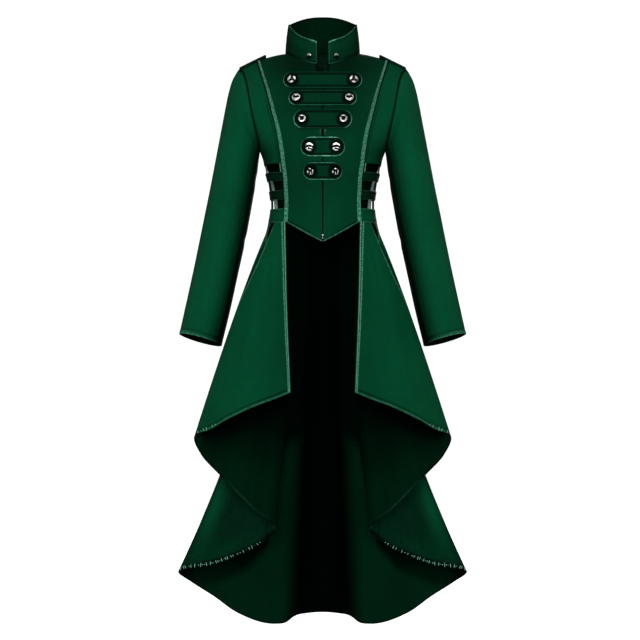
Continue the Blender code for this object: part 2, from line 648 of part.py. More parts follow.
def make_tabs(collection):
    """Five round-ended tabs that close the front, each made from the front's points moved out."""
    for number, (half_length, top, bottom, _) in enumerate(TAB_ROWS, 1):
        radius, middle = (top - bottom) / 2, (top + bottom) / 2
        straight = half_length - radius
        bend = np.radians((82, 60, 36, 12))
        end_x, end_half = straight + radius * np.sin(bend), radius * np.cos(bend)
        flat_x = np.linspace(-straight, straight, 7)
        x = np.concatenate([-end_x, flat_x, end_x[::-1]])
        half = np.concatenate([end_half, np.full(len(flat_x), radius), end_half[::-1]])
        height = middle + np.linspace(1, -1, 4)[:, None] * half[None, :]
        turn = turn_at(np.abs(x)[None, :], height)
        sign = np.stack([np.sign(x), np.ones_like(x), np.ones_like(x)], axis=-1)[None]
        points, out = torso(turn, height) * sign, torso_out(turn, height) * sign
        outer, inner = points + out * (TRIM_GAP + TAB_THICKNESS), points + out * TRIM_GAP
        wall(f"tab_{number}", outer, inner, collection)


def turned(name, profile, place, out, collection, kind="metal"):
    """A turned piece standing on a surface: a profile screwed round its axis, which points outward."""
    mesh = bpy.data.meshes.new(name)
    points = [(radius, 0.0, height) for radius, height in profile]
    mesh.from_pydata(points, [(i, i + 1) for i in range(len(points) - 1)], [])
    thing = link(name, mesh, collection, kind)
    screw = thing.modifiers.new("turn", "SCREW")
    screw.steps = BUTTON_SIDES
    screw.render_steps = BUTTON_SIDES
    screw.use_merge_vertices = True
    screw.merge_threshold = 0.00005
    lean = Vector((0, 0, 1)).rotation_difference(Vector(out))
    thing.matrix_world = Matrix.Translation(Vector(place)) @ lean.to_matrix().to_4x4()
    return thing


def dome_profile(radius, height):
    """A low rim with a dome inside it, from the top down the outside and back in under it."""
    return (
        (0.0, height),
        (radius * 0.42, height * 0.88),
        (radius * 0.74, height * 0.52),
        (radius * 0.84, height * 0.58),
        (radius, height * 0.34),
        (radius * 0.96, 0.0),
        (0.0, 0.0),
    )


def on_torso(x, height, lift):
    turn = turn_at(np.array([abs(x)]), np.array([height]))
    sign = np.array([math.copysign(1, x), 1.0, 1.0])
    place = torso(turn, np.array([height]))[0] * sign
    out = torso_out(turn, np.array([height]))[0] * sign
    return place + out * lift, out


def make_buttons(collection):
    seat = TRIM_GAP + TAB_THICKNESS + SEAM_GAP
    for number, (_, top, bottom, button_x) in enumerate(TAB_ROWS, 1):
        for label, side in (("left", -1), ("right", 1)):
            place, out = on_torso(side * button_x, (top + bottom) / 2, seat)
            profile = dome_profile(BUTTON_RADIUS, BUTTON_HEIGHT)
            turned(f"button_{number}_{label}", profile, place, out, collection)


def make_studs(outer, out, collection):
    """A small stud near each front end of the collar, on the flat between two of its columns."""
    for label, side in (("left", -1.0), ("right", 1.0)):
        foot, head = outer[0], outer[-1]
        first = int(np.searchsorted(foot[:5, 0], STUD_X)) - 1
        share = (STUD_X - foot[first, 0]) / (foot[first + 1, 0] - foot[first, 0])
        low = foot[first] * (1 - share) + foot[first + 1] * share
        high = head[first] * (1 - share) + head[first + 1] * share
        place = low + (high - low) * (STUD_HEIGHT_ON_COLLAR - low[2]) / (high[2] - low[2])
        across = foot[first + 1] - foot[first]
        face = np.cross(across, high - low)
        face = face / np.linalg.norm(face) * np.sign(np.dot(face, out[first]))
        place = place + face * SEAM_GAP
        mirror = np.array([side, 1.0, 1.0])
        profile = dome_profile(STUD_RADIUS, STUD_HEIGHT)
        turned(f"collar_stud_{label}", profile, place * mirror, face * mirror, collection)


def make_shoulder_straps(collection):
    """A stiff strap on each shoulder: it follows the seam, and its pointed inner end stands clear."""
    strap = SHOULDER_STRAP
    x = np.array([strap["inner"], strap["inner"] + 0.009, 0.150, 0.163, 0.175, strap["outer"]])
    half = strap["half_width"] * np.array([0.22, 0.95, 1.0, 1.0, 1.0, 0.9])
    across = np.linspace(-1, 1, 5)[:, None] * half[None, :]
    share = (x - x[0]) / (x[-1] - x[0])
    round_off = SHOULDER_STRAP_ROUND["inner"] * (1 - share) + SHOULDER_STRAP_ROUND["outer"] * share
    drop = SHOULDER_RADIUS * (1 - np.sqrt(1 - (across / round_off) ** 2))
    rise = TRIM_GAP + strap["lift"] * (1 - share) ** 2
    inner = np.stack([x + 0 * across, across, shoulder_height(x) - drop + rise], axis=-1)
    along, over = np.gradient(inner, axis=1), np.gradient(inner, axis=0)
    out = np.cross(along, over)
    out /= np.linalg.norm(out, axis=-1, keepdims=True)
    out *= np.sign(out[..., 2:3])
    both_sides("shoulder_strap", inner + out * STIFF_CLOTH, inner, collection, "dark_cloth")


def make_zip_end(collection):
    """The metal end of the front zip, a small plate over the seam just above the point."""
    plate = ZIP_END
    x = np.linspace(-0.5, 0.5, 3) * plate["width"]
    height = plate["top"] - np.linspace(0, 1, 4)[:, None] * plate["height"] + 0 * x
    turn = turn_at(np.abs(x)[None, :], height)
    sign = np.stack([np.where(x < 0, -1.0, 1.0), np.ones(3), np.ones(3)], axis=-1)[None]
    points, out = torso(turn, height) * sign, torso_out(turn, height) * sign
    out[:, 1] = (out[:, 0] + out[:, 2]) / 2
    outer = points + out * (TRIM_GAP + plate["thickness"])
    wall("zip_end", outer, points + out * TRIM_GAP, collection, "metal")


clear_scene()
tailcoat = make_collection("tailcoat")
make_body(tailcoat)
make_straps(tailcoat)
make_bodice_band(tailcoat)
collar_sheet, collar_out = make_collar(tailcoat)
make_sleeves(tailcoat)
make_skirt(tailcoat)
make_skirt_band(tailcoat)
make_tabs(tailcoat)
make_buttons(tailcoat)
make_studs(collar_sheet, collar_out, tailcoat)
make_shoulder_straps(tailcoat)
make_zip_end(tailcoat)
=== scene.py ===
import math

import bpy
import numpy as np
from mathutils import Matrix


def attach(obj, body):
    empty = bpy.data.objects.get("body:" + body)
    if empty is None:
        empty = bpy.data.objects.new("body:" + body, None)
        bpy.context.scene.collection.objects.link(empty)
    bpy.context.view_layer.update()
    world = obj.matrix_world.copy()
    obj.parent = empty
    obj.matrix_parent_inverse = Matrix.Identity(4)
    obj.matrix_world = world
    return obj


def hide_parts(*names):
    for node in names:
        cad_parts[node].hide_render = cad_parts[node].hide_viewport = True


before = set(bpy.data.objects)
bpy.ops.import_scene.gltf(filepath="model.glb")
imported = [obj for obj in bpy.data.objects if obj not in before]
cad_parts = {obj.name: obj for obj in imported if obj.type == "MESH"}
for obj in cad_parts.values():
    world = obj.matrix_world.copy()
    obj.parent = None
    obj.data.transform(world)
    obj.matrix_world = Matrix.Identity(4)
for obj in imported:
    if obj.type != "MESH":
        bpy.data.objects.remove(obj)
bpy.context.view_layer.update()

# ------------------------------------------------------------
# Bodice: fronts, side fronts, side backs and backs
#
# Eight panels of dark green cotton satin, each cut to shape and sewn to the next along a curved seam. The
# cloth is interlined, so it stands 2 mm thick, and it is lined in the same green, painted darker as shade.
# The edges of the front opening and of the point below it are turned in and pressed, with a painted
# highlight along them. Painted shade darkens the seams and broad patches of every panel.
# ------------------------------------------------------------

CLOTH = 0.0020
FINE_STEP = 1e-6
GREEN = (0.0012, 0.0640, 0.0245)
# The lining's green is the outer green painted darker, as painted shade inside the coat
LINING_SHADE_GREEN = (0.0005, 0.0150, 0.0062)
PALE_GREEN = (0.1050, 0.3900, 0.2500)
SHADE_BLACK = (0.0001, 0.0008, 0.0005)

TORSO = {
    "height": (
        0.030, -0.009, -0.060, -0.110, -0.150, -0.188, -0.205, -0.223,
        -0.256, -0.275, -0.295, -0.312, -0.331, -0.345, -0.367, -0.410,
    ),
    "half_width": (
        0.1920, 0.1920, 0.1920, 0.1900, 0.1770, 0.1540, 0.1424, 0.1350,
        0.1294, 0.1250, 0.1218, 0.1190, 0.1182, 0.1190, 0.1228, 0.1364,
    ),
    "front": (
        0.062, 0.072, 0.090, 0.107, 0.118, 0.124, 0.124, 0.122,
        0.113, 0.106, 0.099, 0.094, 0.091, 0.091, 0.094, 0.104,
    ),
    "back": (
        0.090, 0.098, 0.106, 0.109, 0.108, 0.104, 0.101, 0.097,
        0.089, 0.085, 0.081, 0.078, 0.076, 0.077, 0.081, 0.092,
    ),
}
SECTION_POWER = 0.909
SHOULDER_RADIUS = 0.080
SHOULDER_SLOPE = 0.142
SHOULDER_CURVE = 1.79
BUST = {"x": 0.078, "height": -0.190, "reach": 0.055, "rise": 0.008}
NECK_X = 0.0845
NECK_HEIGHT = 0.0135
NECK_FRONT = {"depth": 0.066, "power": 1.8, "rise": 0.20}
NECK_BACK = {"depth": 0.062, "power": 2.0, "rise": 0.33}

YOKE_HEIGHT = -0.110
SIDE_PANEL_HEIGHT = -0.237
WAIST_HEIGHT = -0.367
POINT_START_HEIGHT = -0.316
POINT_HEIGHT = -0.4115
POINT_HALF_WIDTH = 0.0804
SEAM_TURN = 0.0015
CENTRE_GAP = 0.00015
YOKE_ROWS = 30

# Seams as (height, distance from the centre), the side opening's back edge as (height, degrees)
OPENING_X = 0.0138
OPEN_FRONT = ((-0.015, OPENING_X), (-0.034, 0.0122), (-0.070, CENTRE_GAP), (-0.420, CENTRE_GAP))
FRONT_SEAM = (
    (0.000, 0.1469), (-0.012, 0.1438), (-0.063, 0.1283), (-0.121, 0.1133), (-0.166, 0.1020),
    (-0.210, 0.0943), (-0.242, 0.0903), (-0.264, 0.0874), (-0.297, 0.0857), (-0.319, 0.0844),
    (-0.352, 0.0852), (-0.367, 0.0866),
)
BACK_SEAM = (
    (0.000, 0.1240), (-0.110, 0.0980), (-0.205, 0.0760), (-0.300, 0.0560), (-0.335, 0.0530),
    (-0.367, 0.0570),
)
ARMHOLE = (
    (-0.0207, 0.1886), (-0.028, 0.1815), (-0.040, 0.1758), (-0.067, 0.1688), (-0.110, 0.1610),
    (-0.152, 0.1522), (-0.188, 0.1440), (-0.199, 0.1424), (-0.205, 0.1424),
)
SIDE_OPENING_BACK = (
    (-0.205, 90.0), (-0.2371, 90.0), (-0.247, 107.0), (-0.257, 110.5), (-0.297, 115.5),
    (-0.337, 118.5), (-0.380, 118.5),
)


def curve_through(knots, values, at):
    """A smooth curve through values at rising knots: cubic pieces that share their slope at each knot."""
    knots, values, at = np.asarray(knots, float), np.asarray(values, float), np.asarray(at, float)
    slopes = np.gradient(values, knots, axis=0)
    first = np.clip(np.searchsorted(knots, at, side="right") - 1, 0, len(knots) - 2)
    span = knots[first + 1] - knots[first]
    share = (at - knots[first]) / span
    square, cube = share**2, share**3
    return (
        (2 * cube - 3 * square + 1) * values[first]
        + (cube - 2 * square + share) * span * slopes[first]
        + (3 * square - 2 * cube) * values[first + 1]
        + (cube - square) * span * slopes[first + 1]
    )


def seam_at(pairs, height):
    """A seam's value at a height: straight between the rows of its (height, value) table."""
    heights, values = np.array(pairs[::-1], float).T
    return np.interp(height, heights, values)


def curved_seam_at(pairs, height):
    """A seam's value at a height: a smooth curve through its (height, value) table."""
    heights, values = np.array(pairs[::-1], float).T
    return curve_through(heights, values, np.clip(height, heights[0], heights[-1]))


def torso_size(name, height):
    return curve_through(TORSO["height"][::-1], TORSO[name][::-1], height)


def shoulder_height(x, behind=False):
    """The top of the shoulder: it slopes and curves down outward, and climbs inside the neck."""
    out = np.asarray(x, float) - NECK_X
    rise = np.where(behind, NECK_BACK["rise"], NECK_FRONT["rise"])
    return NECK_HEIGHT - np.where(out > 0, SHOULDER_SLOPE * out + SHOULDER_CURVE * out**2, rise * out)


def torso(turn, height):
    """Outer face of the cloth on the right half, by its turn from the centre front and its height.

    Across: half width times the sine of the turn, and depth times its cosine, both to the section's power.
    Near the shoulder the depth shrinks along a quarter circle, and the bust is a low round swell in front.
    """
    turn, height = np.broadcast_arrays(np.asarray(turn, float), np.asarray(height, float))
    x = torso_size("half_width", height) * np.abs(np.sin(turn)) ** SECTION_POWER
    in_front = np.cos(turn) > 0
    depth = np.where(in_front, torso_size("front", height), torso_size("back", height))
    depth = depth * np.abs(np.cos(turn)) ** SECTION_POWER
    drop = np.clip((shoulder_height(x, ~in_front) - height) / SHOULDER_RADIUS, 0, 1)
    depth = depth * np.sqrt(1 - (1 - drop) ** 2)
    away = ((x - BUST["x"]) ** 2 + (height - BUST["height"]) ** 2) / BUST["reach"] ** 2
    depth = np.maximum(depth + in_front * BUST["rise"] * np.exp(-away), CENTRE_GAP)
    return np.stack([x, np.where(in_front, -depth, depth), height + 0 * x], axis=-1)


def outward(surface, a, b):
    """Unit normals of a surface of two parameters, from small steps to each side."""
    along_a = surface(a + FINE_STEP, b) - surface(a - FINE_STEP, b)
    along_b = surface(a, b + FINE_STEP) - surface(a, b - FINE_STEP)
    normal = np.cross(along_a, along_b)
    return normal / np.linalg.norm(normal, axis=-1, keepdims=True)


def torso_out(turn, height):
    """Unit normals of the torso, taken a little inside its centre lines and its top edge."""
    turn, height = np.broadcast_arrays(np.asarray(turn, float), np.asarray(height, float))
    inside = np.clip(turn, 0.004, math.pi - 0.004)
    top = shoulder_height(torso(inside, height)[..., 0], np.cos(inside) <= 0)
    return outward(torso, inside, np.minimum(height, top - 8 * FINE_STEP))


def turn_at(x, height, behind=False):
    """The turn at which the torso is x from the centre, in front of the side line or behind it."""
    reach = np.clip(x / torso_size("half_width", height), 0, 1) ** (1 / SECTION_POWER)
    turn = np.arcsin(reach)
    return math.pi - turn if behind else turn


def neckline_height(x, behind):
    """Height of a panel's top edge: where the torso passes through the neck's oval ring, then the shoulder.

    Found by repeating: the height sets how deep the section is, and that depth sets the height again.
    """
    x = np.asarray(x, float)
    neck = NECK_BACK if behind else NECK_FRONT
    across = np.clip(x / NECK_X, 0, 1)
    depth = neck["depth"] * (1 - across ** neck["power"]) ** (1 / neck["power"])
    top = shoulder_height(x, behind)
    height = top
    for _ in range(12):
        full = torso_size("back" if behind else "front", height)
        full = full * np.cos(turn_at(x, height)) ** SECTION_POWER
        share = np.clip(depth / full, 0, 1)
        height = top - SHOULDER_RADIUS * (1 - np.sqrt(1 - share**2))
    return height


def row_heights(top, low_rows, low_end):
    """Heights of a panel's rows: close together at the shoulder, then even down to low_end."""
    share = np.linspace(0, 1, YOKE_ROWS)[:, None] ** 2
    yoke = np.atleast_1d(top)[None, :] * (1 - share) + YOKE_HEIGHT * share
    low = np.linspace(YOKE_HEIGHT, low_end, low_rows + 1)[1:, None] + 0 * yoke[:1]
    return np.concatenate([yoke, low])


def between(start, end, count):
    """A grid whose rows go evenly from their start values to their end values."""
    share = np.linspace(0, 1, count)[None, :]
    return start[:, None] * (1 - share) + end[:, None] * share


def grid_arcs(points):
    """Distance travelled over a grid of points: along its rows, and down its columns."""
    across = np.linalg.norm(np.diff(points, axis=1), axis=-1).cumsum(axis=1)
    down = np.linalg.norm(np.diff(points, axis=0), axis=-1).cumsum(axis=0)
    return np.pad(across, ((0, 0), (1, 0))), np.pad(down, ((1, 0), (0, 0)))


def fading(distance, reach):
    return np.exp(-((distance / reach) ** 2))


def smooth_step(value):
    value = np.clip(value, 0, 1)
    return value**2 * (3 - 2 * value)


def crease(points, line, width, depth):
    """How far a soft crease lowers each point of a sheet.

    The line's points each press a round dent that thins out towards the line's ends; the dents run together
    into one trough, and a wider, shallower ridge is added back so that the cloth swells beside it.
    """
    line = np.asarray(line, float)
    spacing = np.linalg.norm(np.diff(line, axis=0), axis=1).sum() / (len(line) - 1)
    taper = np.sin(np.pi * (np.arange(len(line)) + 0.5) / len(line)) ** 0.7
    gap = np.linalg.norm(points.reshape(-1, 1, 3) - line[None], axis=-1)

    def spread(reach):
        return (fading(gap, reach) * taper).sum(axis=1) * spacing / (reach * math.sqrt(math.pi))

    return depth * (spread(width) - 0.45 * spread(1.9 * width)).reshape(points.shape[:2])


def creased(points, surface, creases, steps):
    """How far a sheet's creases lower it: each runs straight between two places on the sheet's surface."""
    share = np.linspace(0, 1, steps)
    lowered = 0.0
    for first, last, width, depth in creases:
        line = surface(*(start + (end - start) * share for start, end in zip(first, last)))
        lowered = lowered + crease(points, line, width, depth)
    return lowered


EDGE_ROUND = 0.0004


def shell(name, outer, inner, finishes, pale=0.0, dark=0.0, inner_pale=0.0, inner_dark=0.0):
    """A closed wall of cloth from an outer and an inner grid of points.

    The rim joins them through a middle ring that stands out a little, so each cut edge is round. The map is
    in metres along the rows and down the columns. The marks pale and dark are kept for the finishes.
    """
    rows, columns = outer.shape[:2]
    count = rows * columns
    index = np.arange(count).reshape(rows, columns)
    ring = np.concatenate([index[0, :-1], index[:-1, -1], index[-1, :0:-1], index[:0:-1, 0]])
    ring_row, ring_column = ring // columns, ring % columns
    beside = outer[np.clip(ring_row, 1, rows - 2), np.clip(ring_column, 1, columns - 2)]
    near, far = outer[ring_row, ring_column], inner[ring_row, ring_column]
    away = near - beside
    away = away / np.maximum(np.linalg.norm(away, axis=1, keepdims=True), 1e-9)
    middle = (near + far) / 2 + away * EDGE_ROUND
    points = np.concatenate([outer.reshape(-1, 3), inner.reshape(-1, 3), middle])

    corners = (index[:-1, :-1], index[:-1, 1:], index[1:, 1:], index[1:, :-1])
    front = np.stack(corners, axis=-1).reshape(-1, 4)
    lip = 2 * count + np.arange(len(ring))
    after, lip_after = np.roll(ring, -1), np.roll(lip, -1)
    rim = np.concatenate([
        np.stack([ring, lip, lip_after, after], axis=-1),
        np.stack([lip, ring + count, after + count, lip_after], axis=-1),
    ])
    faces = np.concatenate([front, front[:, ::-1] + count, rim])
    lining = np.repeat([0, 1, 0], [len(front), len(front), len(rim)])
    centre = rows // 2, columns // 2
    across = outer[centre[0], centre[1] + 1] - outer[centre]
    down = outer[centre[0] + 1, centre[1]] - outer[centre]
    if np.dot(np.cross(across, down), outer[centre] - inner[centre]) < 0:
        faces = faces[:, ::-1]

    along, fallen = grid_arcs(outer)
    flat_map = np.stack([along.ravel(), fallen.ravel()], axis=-1)
    flat_map = np.concatenate([flat_map, flat_map, flat_map[ring]])
    marks = {}
    for label, value, under in (("pale", pale, inner_pale), ("dark", dark, inner_dark)):
        top = np.broadcast_to(value, (rows, columns)).ravel()
        low = np.broadcast_to(under, (rows, columns)).ravel()
        marks[label] = np.clip(np.concatenate([top, low, (top[ring] + low[ring]) / 2]), 0, 1)
    return solid_mesh(name, points, faces, finishes, lining, flat_map, marks)


def solid_mesh(name, points, faces, finishes, finish_of_face=None, flat_map=None, marks=None):
    """Puts whole arrays of points and equal-sided faces into a smooth mesh, with its map and marks."""
    sides = faces.shape[1]
    mesh = bpy.data.meshes.new(name)
    mesh.vertices.add(len(points))
    mesh.vertices.foreach_set("co", np.ascontiguousarray(points, np.float32).ravel())
    mesh.loops.add(faces.size)
    mesh.loops.foreach_set("vertex_index", np.ascontiguousarray(faces, np.int32).ravel())
    mesh.polygons.add(len(faces))
    mesh.polygons.foreach_set("loop_start", np.arange(0, faces.size, sides, dtype=np.int32))
    for finish in finishes:
        mesh.materials.append(finish)
    if finish_of_face is not None:
        mesh.polygons.foreach_set("material_index", finish_of_face.astype(np.int32))
    if flat_map is not None:
        layer = mesh.uv_layers.new(name="cloth")
        layer.uv.foreach_set("vector", flat_map[faces.ravel()].astype(np.float32).ravel())
    for label, values in (marks or {}).items():
        kept = mesh.attributes.new(label, "FLOAT", "POINT")
        kept.data.foreach_set("value", np.ascontiguousarray(values, np.float32))
    mesh.update(calc_edges=True)
    mesh.shade_smooth()
    piece = bpy.data.objects.new(name, mesh)
    bpy.context.scene.collection.objects.link(piece)
    return piece


def cut_size(outer):
    """What a piece was cut from: the widest row, the longest column and the area of its sheet."""
    across, down = grid_arcs(outer)
    first = np.cross(outer[:-1, 1:] - outer[:-1, :-1], outer[1:, :-1] - outer[:-1, :-1])
    second = np.cross(outer[1:, :-1] - outer[1:, 1:], outer[:-1, 1:] - outer[1:, 1:])
    area = (np.linalg.norm(first, axis=-1) + np.linalg.norm(second, axis=-1)).sum() / 2
    return float(across[:, -1].max()), float(down[-1].max()), float(area)


SIDES = (("left", -1.0), ("right", 1.0))


def settle(piece, node=None):
    """Rides a piece on the coat, in the place of its solid if it has one."""
    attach(piece, "root")
    if node:
        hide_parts(node)


def sewn(piece, node, outer, layers=1):
    """Settles a cloth piece; it also works out its flat cloth, cut wider by layers where its edges turn
    under, but uses it nowhere.
    """
    settle(piece, node)
    width, length, area = cut_size(outer)
    area = layers * min(area, width * length)


def both_sides(
    name, outer, inner, finishes, slot="cloth", held="hung", rests_on=(), solid=True, layers=1, **marks
):
    """The same cloth piece on both halves; rests_on, which names pieces of the same half, is not used.

    Where solid is false the coat's solids have no such piece, and it is in the scene alone.
    """
    for label, side in SIDES:
        mirror = np.array([side, 1.0, 1.0])
        node = f"{name}_{label}"
        piece = shell(node + "_cloth" * solid, outer * mirror, inner * mirror, finishes, **marks)
        sewn(piece, node if solid else None, outer, layers)


def fill(tree, node, sockets):
    """Sets a node's sockets, by name or number, each to a value or to another node's output."""
    for socket, value in sockets.items():
        if isinstance(value, bpy.types.NodeSocket):
            tree.links.new(value, node.inputs[socket])
        else:
            node.inputs[socket].default_value = value
    return node


def add(tree, kind, sockets=(), **settings):
    """One new node with its settings, then its sockets."""
    made = tree.nodes.new("ShaderNode" + kind)
    for label, value in settings.items():
        setattr(made, label, value)
    return fill(tree, made, dict(sockets))


def maths(tree, operation, *values, clamp=False):
    return add(tree, "Math", enumerate(values), operation=operation, use_clamp=clamp).outputs[0]


def ranged(tree, value, *limits):
    """A value carried from the range of the first two limits to that of the last two."""
    return add(tree, "MapRange", enumerate((value, *limits))).outputs[0]


def noise(tree, place, scale, detail):
    return add(tree, "TexNoise", {"Vector": place, "Scale": scale, "Detail": detail}).outputs[0]


def mixed(tree, share, first, second):
    """A colour between two others: share is 0 for the first and 1 for the second."""
    return add(tree, "Mix", {0: share, 6: first, 7: second}, data_type="RGBA").outputs[2]


def mark(tree, label):
    """A number kept at the mesh's points."""
    return add(tree, "Attribute", attribute_name=label).outputs["Fac"]


def bumped(tree, height, strength, distance):
    return add(tree, "Bump", {"Strength": strength, "Distance": distance, "Height": height}).outputs[0]


def start_group(name, takes, gives):
    """An empty node group with its named inputs and outputs, ready to be filled."""
    tree = bpy.data.node_groups.new(name, "ShaderNodeTree")
    for label, kind in takes.items():
        tree.interface.new_socket(label, in_out="INPUT", socket_type="NodeSocket" + kind)
    for label in gives:
        tree.interface.new_socket(label, in_out="OUTPUT", socket_type="NodeSocketFloat")
    return tree, tree.nodes.new("NodeGroupInput").outputs, tree.nodes.new("NodeGroupOutput")


def satin_weave():
    """Height of a satin weave: slanted floats, a sine across them, and finer threads along the cloth."""
    tree, given, result = start_group("satin weave", {"Cloth": "Vector", "Float Width": "Float"}, ("Height",))
    pitch = maths(tree, "DIVIDE", 2 * math.pi, given["Float Width"])

    def wave(direction):
        across = add(tree, "VectorMath", {0: given["Cloth"], 1: direction}, operation="DOT_PRODUCT")
        return maths(tree, "SINE", maths(tree, "MULTIPLY", across.outputs["Value"], pitch))

    floats, threads = wave((0.60, 0.80, 0.0)), wave((1.9, 0.0, 0.0))
    fill(tree, result, {"Height": maths(tree, "MULTIPLY_ADD", threads, 0.4, floats)})
    return tree


def uneven_dye():
    """How deep the dye lies: broad clouds, small mottling and a fine fibre grain, about 1 on average."""
    tree, given, result = start_group("uneven dye", {"Place": "Vector"}, ("Depth", "Grain"))
    broad = ranged(tree, noise(tree, given["Place"], 7.0, 3.0), 0.3, 0.7, 0.88, 1.12)
    small = ranged(tree, noise(tree, given["Place"], 85.0, 2.0), 0.3, 0.7, 0.95, 1.05)
    grain = noise(tree, given["Place"], 900.0, 1.0)
    fill(tree, result, {"Depth": maths(tree, "MULTIPLY", broad, small), "Grain": grain})
    return tree


def pale_edge_highlight():
    """How pale a piece is painted: its pale mark, broken up by noise. The mark is mostly painted highlight
    on edges, rims and crests, with pale thread marks and speckles in a few places.
    """
    tree, given, result = start_group("rubbed edge", {"Mark": "Float", "Place": "Vector"}, ("Mask",))
    broken = ranged(tree, noise(tree, given["Place"], 160.0, 3.0), 0.36, 0.62, 0.32, 1.0)
    fill(tree, result, {"Mask": maths(tree, "MULTIPLY", given["Mark"], broken, clamp=True)})
    return tree


WEAVE, DYE, PALE_EDGE_HIGHLIGHT = satin_weave(), uneven_dye(), pale_edge_highlight()
SATIN_TINT = (0.10, 1.0, 0.55, 1.0)


def use_group(tree, group, sockets):
    return add(tree, "Group", sockets, node_tree=group).outputs


def start_finish(name):
    """A new material with its node tree and its shader."""
    finish = bpy.data.materials.new(name)
    finish.use_nodes = True
    return finish, finish.node_tree, finish.node_tree.nodes["Principled BSDF"]


def cloth_finish(name, colour, pale_colour=PALE_GREEN, float_width=0.0011, roughness=0.58, shine=0.08):
    """Dyed satin: an uneven colour, paler where the pale mark lies, near black where the dark mark lies, and
    the weave as bump. The pale mark is mostly painted highlight; the dark mark is painted shade.
    """
    finish, tree, shader = start_finish(name)
    place = add(tree, "TexCoord").outputs["Object"]
    cloth = add(tree, "UVMap", uv_map="cloth").outputs["UV"]
    dye = use_group(tree, DYE, {"Place": place})
    weave = use_group(tree, WEAVE, {"Cloth": cloth, "Float Width": float_width})
    # Painted highlight: the pale mark mixes the colour toward pale green
    paled = use_group(tree, PALE_EDGE_HIGHLIGHT, {"Mark": mark(tree, "pale"), "Place": place})
    tint = add(tree, "VectorMath", {0: colour, "Scale": dye["Depth"]}, operation="SCALE").outputs[0]
    tint_with_highlight = mixed(tree, paled["Mask"], tint, (*pale_colour, 1.0))
    relief = maths(tree, "MULTIPLY_ADD", dye["Grain"], 1.3, weave["Height"])
    # Painted shade: the dark mark mixes the colour toward near black in seams, hollows, folds and turned-away
    # parts
    fill(tree, shader, {
        "Base Color": mixed(tree, mark(tree, "dark"), tint_with_highlight, (*SHADE_BLACK, 1.0)),
        "Roughness": ranged(tree, dye["Grain"], 0.0, 1.0, roughness - 0.05, roughness + 0.07),
        "Normal": bumped(tree, relief, 0.35, 0.00012),
        "Specular IOR Level": shine,
        "Specular Tint": SATIN_TINT,
    })
    return finish


cloth_green = cloth_finish("green satin", GREEN)
cloth_lining_shaded = cloth_finish("shaded green lining", LINING_SHADE_GREEN, float_width=0.0008, roughness=0.70, shine=0.01)
CLOTH_AND_LINING = (cloth_green, cloth_lining_shaded)

THREAD_PALE = (0.2200, 0.5200, 0.3700)
THREAD_GREEN = (0.0009, 0.0200, 0.0090)
thread_pale = cloth_finish("pale thread", THREAD_PALE, THREAD_PALE, 0.0006, 0.45, 0.30)
thread_green = cloth_finish("green thread", THREAD_GREEN, THREAD_PALE, 0.0006, 0.55, 0.05)


def stitch_form():
    """One stitch of unit length: a six-sided thread, thickest along its middle, pointed at both ends."""
    around = np.arange(6) * math.pi / 3
    ring = np.stack([np.zeros(6), np.cos(around) / 2, np.sin(around) / 2], axis=1)
    first_end, last_end = np.array([[-0.5, 0.0, -0.35]]), np.array([[0.5, 0.0, -0.35]])
    points = np.concatenate([first_end, ring + (-0.27, 0, 0), ring + (0.27, 0, 0), last_end])
    here = np.arange(6)
    after = (here + 1) % 6
    faces = np.concatenate([
        np.stack([np.zeros(6, int), 1 + after, 1 + here], axis=1),
        np.stack([1 + here, 1 + after, 7 + after], axis=1),
        np.stack([1 + here, 7 + after, 7 + here], axis=1),
        np.stack([np.full(6, 13), 7 + here, 7 + after], axis=1),
    ])
    return points, faces


STITCH_POINTS, STITCH_FACES = stitch_form()


def stitch_row(line, out, pitch=0.0034, length=0.0024, width=0.0008, turned=0.0, unevenness=0.12):
    """A row of stitches along a line of points: one every pitch, lying across the normal.

    Each is turned from the line by an angle, and its angle, length and place waver along the row.
    """
    line, out = np.asarray(line, float), np.asarray(out, float)
    travelled = np.concatenate([[0.0], np.linalg.norm(np.diff(line, axis=0), axis=1).cumsum()])
    count = max(int(travelled[-1] / pitch), 1)
    at = (np.arange(count) + 0.5) * travelled[-1] / count
    beat = np.arange(count)
    waver = unevenness * np.sin(2.3 * beat + 0.7 * np.sin(0.9 * beat))

    def along_line(values, where):
        return np.stack([np.interp(where, travelled, values[:, axis]) for axis in range(3)], axis=1)

    centre, up = along_line(line, at), along_line(out, at)
    up = up / np.linalg.norm(up, axis=1, keepdims=True)
    ahead = along_line(line, at + pitch / 2) - along_line(line, at - pitch / 2)
    ahead = ahead - up * (ahead * up).sum(axis=1, keepdims=True)
    ahead = ahead / np.linalg.norm(ahead, axis=1, keepdims=True)
    aside = np.cross(up, ahead)
    angle = (turned + waver)[:, None]
    first = ahead * np.cos(angle) + aside * np.sin(angle)
    second = aside * np.cos(angle) - ahead * np.sin(angle)
    long = (length * (1 + 1.5 * waver))[:, None, None] * STITCH_POINTS[None, :, :1]
    wide = width * STITCH_POINTS[None, :, 1:2]
    high = width * (STITCH_POINTS[None, :, 2:] + 0.12)
    return centre[:, None] + long * first[:, None] + wide * second[:, None] + high * up[:, None]


def stitched(name, rows, finish, mirrored=False):
    """Joins rows of stitches into one mesh; mirrored turns it over to the other half of the coat."""
    stitches = np.concatenate(rows)
    first = np.arange(len(stitches))[:, None, None] * len(STITCH_POINTS)
    faces = (STITCH_FACES[None] + first).reshape(-1, 3)
    points = stitches.reshape(-1, 3)
    if mirrored:
        points, faces = points * (-1.0, 1.0, 1.0), faces[:, ::-1]
    marks = dict.fromkeys(("pale", "dark"), np.zeros(len(points)))
    settle(solid_mesh(name, points, faces, (finish,), flat_map=points[:, (0, 2)], marks=marks))


def stitched_both(name, rows, finish):
    for label, side in SIDES:
        stitched(f"{name}_{label}", rows, finish, side < 0)


